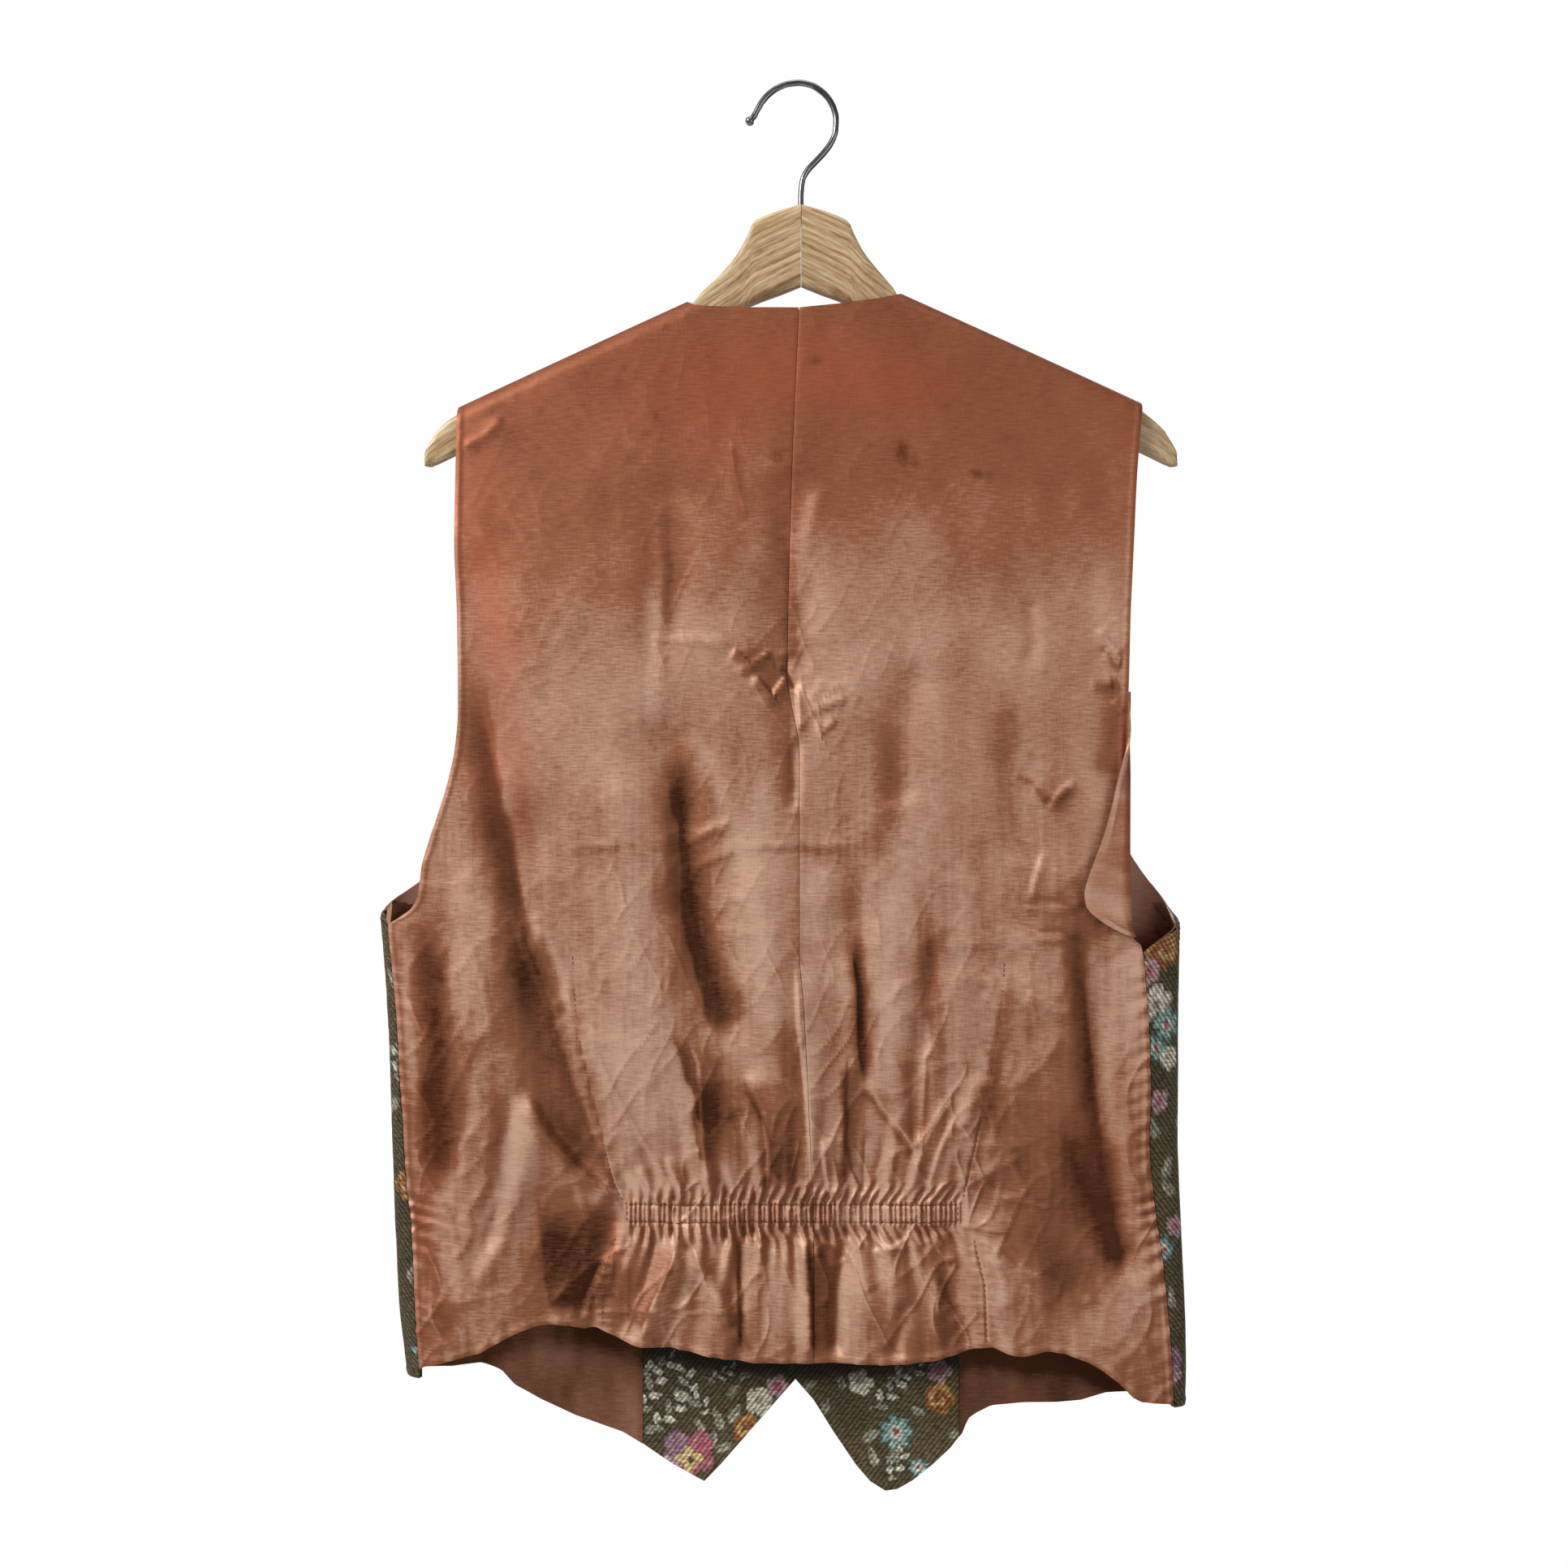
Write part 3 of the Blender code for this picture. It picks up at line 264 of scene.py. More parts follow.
# Creases: kind, width and height in mm, then the photo's pixels down the line.
# A step stands up sharply on the right of its line (below 0: on the left) and dies away.
backCreases = readRows((
    ("step", 6, 1.2, 625, 1115, 650, 1180, 672, 1240, 692, 1257),
    ("sharp", 5, -1.6, 588, 860, 606, 940, 625, 1030, 640, 1100, 655, 1160),
    ("soft", 9, -2, 640, 1180, 660, 1290, 690, 1390, 735, 1455),
    ("sharp", 3, 0.9, 652, 1150, 668, 1200, 690, 1250),
    ("soft", 7, 0.7, 822, 600, 823, 700, 815, 790),
    ("soft", 8, -2.2, 832, 940, 846, 1040, 852, 1110, 872, 1185, 900, 1250, 925, 1295),
    ("sharp", 2.5, 0.9, 800, 1038, 845, 1041, 880, 1022, 905, 1012),
    ("sharp", 2, 0.7, 850, 1072, 880, 1058, 905, 1050),
    ("sharp", 1.8, 0.7, 825, 1092, 870, 1101, 925, 1108),
    ("step", 8, 1.8, 845, 1275, 860, 1310, 864, 1400, 870, 1480),
    ("step", 9, 1.9, 915, 1320, 940, 1370, 947, 1420, 945, 1480),
    ("sharp", 4, 0.8, 725, 1240, 735, 1300, 760, 1345, 790, 1400, 820, 1450, 835, 1490),
    ("step", 10, -2.6, 650, 1340, 680, 1400, 715, 1440, 762, 1482),
    ("sharp", 4, 1.5, 640, 1385, 690, 1425, 725, 1455, 762, 1484),
    ("step", 5, 1.3, 780, 1440, 800, 1470, 812, 1492),
    ("step", 5, 1.3, 818, 1425, 832, 1460, 842, 1490),
    ("sharp", 2.5, -1, 876, 1448, 892, 1462, 902, 1490),
    ("step", 9, 1.6, 978, 1180, 984, 1262, 996, 1370, 1000, 1478),
    ("step", 9, -2, 1050, 1166, 1057, 1212, 1059, 1295, 1066, 1331),
    ("step", 5, 1.4, 1066, 1331, 1086, 1365, 1112, 1395, 1132, 1424),
    ("step", 7, -1.7, 1043, 1298, 1041, 1408, 1049, 1444, 1066, 1474),
    ("sharp", 2.5, -0.9, 1067, 1398, 1066, 1440, 1066, 1474),
    ("step", 6, 1.5, 1011, 1400, 1016, 1440, 1021, 1478),
    ("soft", 7, -2, 1152, 1146, 1145, 1212, 1137, 1298, 1129, 1355, 1132, 1421),
    ("sharp", 3, 1, 1165, 1275, 1141, 1305, 1137, 1421, 1125, 1454, 1119, 1480),
    ("sharp", 3, 1.2, 1175, 1351, 1152, 1388, 1138, 1414),
    ("step", 6, 1.6, 1178, 1371, 1155, 1421, 1145, 1457, 1143, 1480),
    ("soft", 5, 1.5, 1208, 1321, 1196, 1360, 1185, 1395),
    ("sharp", 4, 1.2, 1262, 1422, 1225, 1444, 1190, 1463),
    ("sharp", 4, 0.8, 1311, 1268, 1285, 1311, 1245, 1345),
    ("sharp", 3, 0.6, 1172, 1197, 1198, 1209, 1232, 1209),
    ("sharp", 2.5, 0.6, 1112, 1205, 1096, 1239),
    ("sharp", 3, 0.7, 1165, 1164, 1198, 1165, 1241, 1159),
    ("step", 4, 0.9, 1334, 1114, 1296, 1117, 1258, 1114),
    ("step", 4, 1, 1328, 1151, 1295, 1154, 1261, 1152),
    ("sharp", 3, 0.8, 1258, 1225, 1308, 1248, 1328, 1245),
    ("sharp", 3, 0.5, 1232, 1063, 1275, 1068, 1331, 1089),
    ("step", 6, 1.2, 1285, 1046, 1272, 1085, 1265, 1111),
    ("soft", 8, -3, 1334, 1113, 1341, 1212, 1351, 1312, 1364, 1378, 1381, 1477, 1392, 1600),
    ("step", 5, 1.4, 951, 799, 925, 815, 903, 797),
    ("sharp", 2.5, 0.9, 903, 797, 870, 789, 800, 787),
    ("step", 6, -1.8, 930, 829, 951, 853, 970, 829),
    ("sharp", 3, -1.8, 971, 805, 971, 828, 980, 849),
    ("step", 5, 1.2, 980, 845, 984, 875, 983, 902),
    ("step", 5, 1.1, 990, 852, 1009, 878, 1046, 863),
    ("step", 4, 1, 1003, 887, 1011, 908, 1033, 888),
    ("sharp", 3, 0.8, 1000, 842, 1030, 848, 1062, 865),
    ("sharp", 2.5, 0.8, 905, 828, 930, 822, 958, 820),
    ("soft", 6, 0.5, 960, 593, 980, 660, 972, 759, 971, 825),
    ("soft", 5, 0.45, 1013, 593, 996, 660, 988, 740),
    ("soft", 4, -1.2, 980, 905, 979, 950, 976, 1000),
    ("step", 5, 1.5, 1325, 960, 1307, 972, 1291, 994),
    ("sharp", 3, 0.9, 1271, 975, 1280, 972, 1291, 988),
    ("sharp", 3, 1.1, 1354, 772, 1367, 790, 1383, 806),
    ("sharp", 3, 1, 1361, 804, 1371, 812, 1383, 817),
    ("sharp", 2.5, 0.9, 1344, 845, 1374, 842),
    ("sharp", 3, 0.9, 1374, 860, 1384, 878),
    ("sharp", 3, 0.35, 1248, 971, 1260, 940, 1271, 918),
    ("soft", 5, -0.8, 1268, 732, 1276, 789, 1263, 825),
    ("soft", 12, -1.6, 1132, 805, 1106, 892, 1112, 998),
    ("sharp", 3, 0.5, 900, 530, 905, 580, 920, 640),
    ("sharp", 3, 0.9, 560, 545, 590, 530, 615, 510),
    ("sharp", 2.5, 0.7, 695, 1045, 730, 1044, 765, 1043),
    ("sharp", 2.5, 0.7, 860, 1045, 985, 1042, 1100, 1046),
    ("step", 12, 3, 752, 1539, 737, 1569, 724, 1597, 717, 1633),
    ("sharp", 2.5, 0.9, 745, 1560, 742, 1600, 742, 1636),
    ("step", 10, 2.6, 834, 1533, 819, 1569, 798, 1610, 787, 1650),
    ("soft", 5, 1.8, 854, 1533, 870, 1564, 885, 1597, 905, 1635),
    ("step", 7, -1.6, 908, 1523, 909, 1584, 911, 1660),
    ("step", 4, 1, 928, 1523, 933, 1540, 935, 1559),
    ("step", 8, -1.8, 993, 1523, 1001, 1584, 1003, 1676),
    ("soft", 4, -2.2, 1041, 1522, 1033, 1592, 1031, 1676),
    ("step", 6, 1.4, 1054, 1522, 1060, 1570, 1069, 1596),
    ("step", 4, 1.2, 1125, 1522, 1102, 1536, 1073, 1543),
    ("soft", 5, -1.8, 1118, 1600, 1109, 1640, 1102, 1676),
    ("sharp", 4, 1.2, 1120, 1526, 1139, 1581, 1161, 1611, 1184, 1640),
    ("step", 5, 1, 1144, 1519, 1158, 1545, 1172, 1564),
    ("sharp", 4, 1.4, 1194, 1522, 1227, 1540, 1255, 1566, 1279, 1597, 1295, 1620),
    ("sharp", 3, 1, 1224, 1479, 1267, 1486, 1300, 1495),
    ("sharp", 3, 0.8, 1182, 1512, 1215, 1517, 1243, 1519),
    ("sharp", 3, 1, 668, 1617, 717, 1571, 752, 1543),
    ("soft", 7, 1.6, 655, 1330, 648, 1440, 620, 1530, 580, 1592),
    ("soft", 7, -1.2, 632, 1330, 622, 1440, 596, 1535, 560, 1592),
    ("soft", 7, 1.4, 608, 1340, 600, 1450, 575, 1540, 545, 1590),
))
frontCreases = (
    ("soft", 8, -1.4, ((-150, -500), (-128, -560), (-120, -640))),
    ("soft", 7, 1.2, ((-186, -470), (-168, -560), (-160, -640))),
    ("sharp", 4, 0.8, ((-60, -470), (-96, -500), (-140, -512))),
    ("sharp", 4, 0.8, ((-40, -600), (-80, -625), (-112, -628))),
    ("soft", 9, -1.3, ((-90, -250), (-98, -350), (-90, -430))),
    ("soft", 8, 1.2, ((84, -270), (90, -370), (78, -450))),
    ("sharp", 4, 0.8, ((46, -480), (88, -506), (120, -516))),
    ("soft", 8, -1.4, ((150, -480), (132, -560), (138, -650))),
    ("sharp", 4, 0.8, ((40, -640), (70, -660), (104, -664))),
    ("step", 7, 0.9, ((186, -500), (176, -570), (182, -640))),
)
# The darts' seams, above and below the elastic, in the same pixels.
darts = [photoLine(row) for row in (
    (705, 1177, 708, 1235, 716, 1299, 727, 1350, 742, 1410, 755, 1459, 765, 1483),
    (757, 1529, 743, 1569, 742, 1640),
    (1238, 1186, 1235, 1221, 1226, 1286, 1215, 1346, 1204, 1411, 1189, 1480),
    (1201, 1529, 1213, 1584, 1217, 1655),
)]


# Height of the shoulder line over x, carried on across the neck.
def ridgeHeight(x):
    lines = []
    for side in (-1, 1):
        (neckX, neckZ), (tipX, tipZ) = neckPoint[side], shoulderTip[side]
        lines.append(neckZ + (tipZ - neckZ) / (tipX - neckX) * (x - neckX))
    return np.minimum(*lines)


# Distance to a broken line, the side of it (right of a line that runs down is above 0) and
# the share of its length, at the nearest point.
def lineGap(x, z, line):
    line = np.array(line, float)
    best = np.full(x.shape, 1e9)
    side, share = np.zeros(x.shape), np.zeros(x.shape)
    lengths = np.hypot(*np.diff(line, axis=0).T)
    before = np.concatenate(([0.0], np.cumsum(lengths)))
    for k, length in enumerate(lengths):
        runX, runZ = line[k + 1] - line[k]
        t = np.clip(((x - line[k, 0]) * runX + (z - line[k, 1]) * runZ) / length ** 2, 0, 1)
        awayX, awayZ = x - line[k, 0] - t * runX, z - line[k, 1] - t * runZ
        gap = np.hypot(awayX, awayZ)
        nearer = gap < best
        best = np.where(nearer, gap, best)
        side = np.where(nearer, (runX * awayZ - runZ * awayX) / length, side)
        share = np.where(nearer, (before[k] + t * length) / before[-1], share)
    return best, side, share


# Sum of creases. Soft: a bell across the line. Sharp: a ridge that falls off as a decaying
# power. Step: a steep rise at the line that dies away past it.
def creaseHeight(x, z, creases):
    total = np.zeros(x.shape)
    for kind, width, height, line in creases:
        px, pz = np.array(line, float).T
        reach = 4.0 * width
        near = ((x > px.min() - reach) & (x < px.max() + reach)
                & (z > pz.min() - reach) & (z < pz.max() + reach))
        gap, side, share = lineGap(x[near], z[near], line)
        ends = ease(share / 0.2) * ease((1.0 - share) / 0.12)
        if kind == "soft":
            shape = height * np.exp(-(gap / width) ** 2)
        elif kind == "sharp":
            shape = height * np.exp(-np.hypot(gap, 0.3) / width)
        else:
            raised = 0.5 + 0.5 * np.tanh(side * np.sign(height) / 0.9)
            shape = abs(height) * raised * np.exp(-(gap / width) ** 2)
        total[near] += ends * shape
    return total


# Smooth random field from -1 to 1: seeded numbers on a lattice, eased between.
def softNoise(x, z, cellX, cellZ, seed):
    cells = 96                   # then the lattice repeats
    chance = np.random.default_rng(seed)
    lattice = chance.uniform(-1.0, 1.0, (cells, cells))
    u, v = x / cellX + 500.0, z / cellZ + 500.0
    i, j = np.floor(u).astype(int), np.floor(v).astype(int)
    a, b = ease(u - i), ease(v - j)
    i, j, i1, j1 = i % cells, j % cells, (i + 1) % cells, (j + 1) % cells
    low = lattice[i, j] * (1 - a) + lattice[i1, j] * a
    high = lattice[i, j1] * (1 - a) + lattice[i1, j1] * a
    return low * (1 - b) + high * b


def foldHeight(x, z, folds):
    total = np.zeros(x.shape)
    for xTop, zTop, xLow, zLow, halfWidth, height in folds:
        gap = lineGap(x, z, ((xTop, zTop), (xLow, zLow)))[0]
        total += height * np.exp(-(gap / halfWidth) ** 2)
    return total


# Middle and half width of the ring at a height.
def ringSpan(z):
    left, right = glide(ring, z, 1), glide(ring, z, 2)
    return 0.5 * (left + right), 0.5 * (right - left)


# The cloth's outer side as y over x and height. A squared ring, flat where the wood carries
# it, with the folds and then the fine detail added to its depth.
def faceDepth(x, z, face, detail=None):
    middle, half = ringSpan(z)
    power = form["squareness"]
    across = np.minimum(np.abs(x - middle) / half, 1.0)
    squared = (1.0 - across ** power) ** (1.0 / power)
    drop = ridgeHeight(x) - z
    turn = np.sqrt(1.0 - (1.0 - np.clip(drop / form["shoulderRound"], 0.0, 1.0)) ** 2)
    start = form["backDepth"] if face < 0 else form["frontDepth"]
    hung = glide(ring, z, 3 if face < 0 else 4)
    depth = start + (hung - start) * ease(drop / form["settle"])
    depth = depth + foldHeight(x, z, backFolds if face < 0 else frontFolds)
    if detail is not None:
        depth = depth + detail * turn
    lean = form["hangerLean"] * (2.0 * x / form["hangerSpan"]) ** 2
    lean = lean * (1.0 - ease(drop / form["leanFade"]))
    return lean + face * (0.5 * seamGap + depth * turn * squared)


# Waves of the elastic: ribs between its two stitch lines, and three sets of ripples that
# fan out of it, each wider and longer than the last.
def gathers(x, z):
    inside = ease((x - band["left"] + 5.0) / 9.0) * ease((band["right"] + 5.0 - x) / 9.0)
    wide = ease((x - band["left"] + 16.0) / 30.0) * ease((band["right"] + 16.0 - x) / 30.0)
    pitch = (band["right"] - band["left"]) / band["ribs"]
    wander = 1.6 * softNoise(x, z * 0.0, 17.0, 1.0, 3)
    phase = math.tau * (x - band["left"]) / pitch + wander
    middle = 0.5 * (band["top"] + band["bottom"])
    away = np.maximum(np.abs(z - middle) - 0.5 * (band["top"] - band["bottom"]), 0.0)
    strength = 0.75 + 0.4 * softNoise(x, z * 0.0, 7.0, 1.0, 5)
    ribs = strength * (0.55 + 0.45 * np.sin(phase)) * np.exp(-(away / 1.9) ** 2)
    pinch = (np.exp(-((z - band["top"]) / 1.1) ** 2)
             + np.exp(-((z - band["bottom"]) / 1.1) ** 2))
    ribs = 2.3 * ribs * inside - pinch * inside
    fan = 1.0 + away / 260.0
    tight = np.sin(phase * 0.5 / fan + 1.1 + 0.9 * softNoise(x, z, 9.0, 9.0, 11))
    tight *= np.exp(-((away - 5.0) / 5.5) ** 2) * (0.8 + 0.6 * softNoise(x, z, 12.0, 30.0, 13))
    mid = np.sin(math.tau * x / (8.6 * fan) + 2.4 * softNoise(x, z, 24.0, 60.0, 17))
    mid *= ease(away / 5.0) * np.exp(-(away / 26.0) ** 1.6)
    mid *= 0.8 + 0.7 * softNoise(x, z, 16.0, 34.0, 19)
    broad = np.sin(math.tau * x / (15.0 * fan) + 1.3 * np.sin(x / 23.0)
                   + 1.2 * softNoise(x, z, 40.0, 90.0, 23))
    below = z < middle
    broad *= ease(away / 9.0) * np.where(below, 1.0 - 0.75 * ease(away / 80.0),
                                         1.0 - ease(away / 75.0))
    return ribs + inside * 1.5 * tight + wide * (mid + 1.15 * broad)


# Angular facets that pressed satin keeps: the folded-over parts of a random field,
# strongest near the elastic and the sides, faint over the shoulders.
def crumple(x, z):
    warpX = x + 3.0 * softNoise(x, z, 22.0, 22.0, 31)
    warpZ = z + 3.0 * softNoise(x, z, 22.0, 22.0, 37)
    first = 1.0 - np.abs(softNoise(warpX + 0.45 * warpZ, warpZ, 17.0, 30.0, 41))
    second = 1.0 - np.abs(softNoise(warpX - 0.6 * warpZ, warpZ, 13.0, 24.0, 43))
    near = np.exp(-((z + 655.0) / 75.0) ** 2) * ease((150.0 - np.abs(x)) / 50.0)
    star = np.exp(-(np.hypot(x + 2.0, z + 350.0) / 34.0) ** 2)
    sides = np.exp(-((np.abs(x) - 205.0) / 26.0) ** 2) * ease((-430.0 - z) / 60.0)
    amount = 0.16 + 0.75 * near + 0.5 * star + 0.45 * sides
    amount += 0.25 * ease((-380.0 - z) / 150.0)
    return amount * (1.2 * first ** 5 + second ** 5 - 0.6)


# The dart seams: a groove one thread deep, with small puckers towards the middle.
def dartGroove(x, z):
    total = np.zeros(x.shape)
    for line in darts:
        gap, _, share = lineGap(x, z, line)
        ends = ease(share / 0.12) * ease((1.0 - share) / 0.04)
        pucker = np.sin(math.tau * z / 5.6 + 2.0 * softNoise(x * 0.0, z, 1.0, 14.0, 47))
        total += ends * (-0.75 * np.exp(-(gap / 0.8) ** 2) + 0.45 * np.exp(-(gap / 5.0) ** 2)
                         + 0.22 * pucker * np.exp(-((gap - 2.6) / 3.0) ** 2))
    return total


# Short ripples that run square to a seam and die away from it.
def seamPucker(x, z, seamX, pitch, reach, height, seed):
    gap = np.abs(x - seamX)
    wander = 2.2 * softNoise(x * 0.0, z, 1.0, 19.0, seed)
    wave = np.sin(math.tau * (z + 0.35 * gap) / pitch + wander)
    uneven = 0.7 + 0.5 * softNoise(x, z, 30.0, 21.0, seed + 1)
    return height * wave * np.exp(-gap / reach) * uneven


# All that is finer than the solids' folds on a back panel.
def backDetail(x, z, side):
    seam = glide(centreSeam, z, 1)
    edge = glide(backEdge[side], z, 1)
    lower = ease((-470.0 - z) / 60.0)
    detail = form["creaseScale"] * creaseHeight(x, z, backCreases)
    detail += gathers(x, z) + crumple(x, z) + dartGroove(x, z)
    detail += (0.35 + 0.65 * lower) * seamPucker(x, z, seam, 7.4, 3.2, 0.34, 53)
    detail -= 0.35 * np.exp(-np.abs(x - seam) / 1.2)
    detail += lower * seamPucker(x, z, edge, 9.6, 8.5, 1.5, 59)
    detail += 0.5 * np.exp(-((np.abs(x - edge) - 2.2) / 1.6) ** 2)
    hem = straight(backHem, x, 1)
    detail += 0.55 * np.exp(-((z - hem - 2.0) / 1.8) ** 2)
    wander = 2.0 * softNoise(x, z * 0.0, 13.0, 1.0, 61)
    return detail + 0.5 * np.sin(x / 2.3 + wander) * np.exp(-(z - hem) / 7.0)


# Grids and walls of cloth

# Even angles once round.
def turns(count):
    return np.linspace(0.0, math.tau, count + 1)[:-1]


# Length walked along a line, at each of its points.
def lengthsAlong(line):
    return np.concatenate(([0.0], np.cumsum(np.hypot(*np.diff(line, axis=0).T))))


# Values from runs of (from, to, count), each run evenly spaced.
def spread(parts):
    runs = [np.linspace(a, b, count, endpoint=False) for a, b, count in parts]
    return np.concatenate(runs + [np.array([parts[-1][1]])])


# Height where each column meets an outline given over x, by repeated halving.
def settleHeight(placeX, outline, guess):
    for turn in range(form["settleTurns"]):
        guess = 0.5 * guess + 0.5 * outline(placeX(guess))
    return guess


# Across times down at each grid point, turned to face out of the garment.
def gridNormals(points, side):
    normal = np.cross(np.gradient(points, axis=1), np.gradient(points, axis=0))
    length = np.linalg.norm(normal, axis=2, keepdims=True)
    return -side * normal / np.maximum(length, 1e-9)


# Smallest value within a few grid steps of each point.
def lowest(field, reach):
    for axis in (0, 1):
        padded = np.pad(field, [(reach, reach) if a == axis else (0, 0) for a in (0, 1)], "edge")
        count = field.shape[axis]
        field = np.min([np.take(padded, range(k, k + count), axis) for k in range(2 * reach + 1)],
                       axis=0)
    return field


def buildMesh(name, points, faces, material, sharp=50.0):
    mesh = bpy.data.meshes.new(name)
    mesh.from_pydata((np.asarray(points).reshape(-1, 3) * mm).tolist(), [], faces)
    mesh.shade_smooth()
    mesh.set_sharp_from_angle(angle=math.radians(sharp))
    mesh.materials.append(material)
    piece = bpy.data.objects.new(name, mesh)
    bpy.context.scene.collection.objects.link(piece)
    return piece


# Closed wall: a dense grid on the side that shows, every third point on the other, and a
# rim where three dense edges meet one coarse edge.
def clothWall(name, dense, coarse, flip, material, flat, attributes):
    rows, columns = dense.shape[:2]
    coarse = coarse[::3, ::3]
    index = np.arange(rows * columns).reshape(rows, columns)
    other = rows * columns + np.arange(coarse[..., 0].size).reshape(coarse.shape[:2])

    def quads(grid):
        return np.stack((grid[:-1, :-1], grid[1:, :-1], grid[1:, 1:], grid[:-1, 1:]),
                        axis=-1).reshape(-1, 4)

    def rimOf(grid):
        return np.concatenate((grid[0, :-1], grid[:-1, -1], grid[-1, :0:-1], grid[:0:-1, 0]))

    o, i = rimOf(index), rimOf(other)
    o1, o2, o3 = o[1::3], o[2::3], np.roll(o, -3)[::3]
    o0, nextI = o[::3], np.roll(i, -1)
    triangles = np.concatenate((np.stack((o0, o1, i), -1), np.stack((o2, o3, nextI), -1)))
    fours = np.concatenate((quads(index), quads(other)[:, ::-1],
                            np.stack((o1, o2, nextI, i), -1)))
    if flip:
        triangles, fours = triangles[:, ::-1], fours[:, ::-1]
    points = np.concatenate((dense.reshape(-1, 3), coarse.reshape(-1, 3)))
    piece = buildMesh(name, points, fours.tolist() + triangles.tolist(), material)
    mesh = piece.data
    both = lambda field: np.concatenate((field.reshape(rows * columns, -1),
                                         field[::3, ::3].reshape(coarse[..., 0].size, -1)))
    corner = np.empty(len(mesh.loops), np.int32)
    mesh.loops.foreach_get("vertex_index", corner)
    layer = mesh.uv_layers.new(name="cloth")
    layer.data.foreach_set("uv", (both(flat) * mm)[corner].astype(np.float32).ravel())
    for label, field in attributes.items():
        kind = "FLOAT" if field.ndim == 2 else "FLOAT_COLOR"
        values = both(field).astype(np.float32)
        made = mesh.attributes.new(label, kind, "POINT")
        if kind == "FLOAT":
            made.data.foreach_set("value", values.ravel())
        else:
            full = np.ones((len(values), 4), np.float32)
            full[:, :3] = values
            made.data.foreach_set("color", full.ravel())
    return piece


# Place on the flat cloth: the length walked across from one edge, and the height.
def unrolled(points, start):
    steps = np.hypot(np.diff(points[..., 0], axis=1), np.diff(points[..., 1], axis=1))
    walked = np.concatenate((np.zeros((len(points), 1)), np.cumsum(steps, axis=1)), axis=1)
    if start == "end":
        walked = walked - walked[:, -1:]
    return walked


# Rows down a panel: a quarter turn over the shoulder, then even steps between the levels,
# the last of which is the hem.
def heightRows(top, levels, drop):
    turn = np.radians(np.linspace(0.0, 90.0, 10))[:-1]
    rows = [top - drop * (1.0 - np.cos(angle)) for angle in turn]
    above = top - drop
    for level, count in levels:
        rows += [above + (level - above) * k / count for k in range(count)]
        above = level + np.zeros(top.shape)
    return np.array(rows + [above])


def rideAs(piece, slotName, *nodes):
    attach(piece, "root")
    if nodes:
        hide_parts(*nodes)
    return piece


# Soft ovals: x, height, half width, half length, turn in degrees, amount. A power above 1
# makes their tops flatter and their edges steeper.
def blobs(x, z, table, power=1.0):
    total = np.zeros(x.shape)
    for atX, atZ, wide, tall, turn, amount in table:
        a = math.radians(turn)
        dx, dz = x - atX, z - atZ
        p = (dx * math.cos(a) + dz * math.sin(a)) / wide
        q = (dz * math.cos(a) - dx * math.sin(a)) / tall
        total += amount * np.exp(-(p * p + q * q) ** power)
    return total


# Satin of the back

satinLook = {
    # deep and light are the two ends of the tone scale: deep is painted shade in the folds, light
    # is a painted highlight
    "deep": "3E1B0E",            # in the folds
    "body": "9F6549",
    "light": "DFB49A",           # where the floats catch the light
    "faded": "B05A3E",           # salmon, where the dye has gone red
    "stain": "6B3A1E",
    "smoothest": 0.41,           # roughness on a float and between two
    "roughest": 0.6,
    "weftMm": 1.0,               # real threads are 0.2 mm; drawn this coarse to show
    "slubMm": 8.0,
    "weaveDepthMm": 0.14,
}
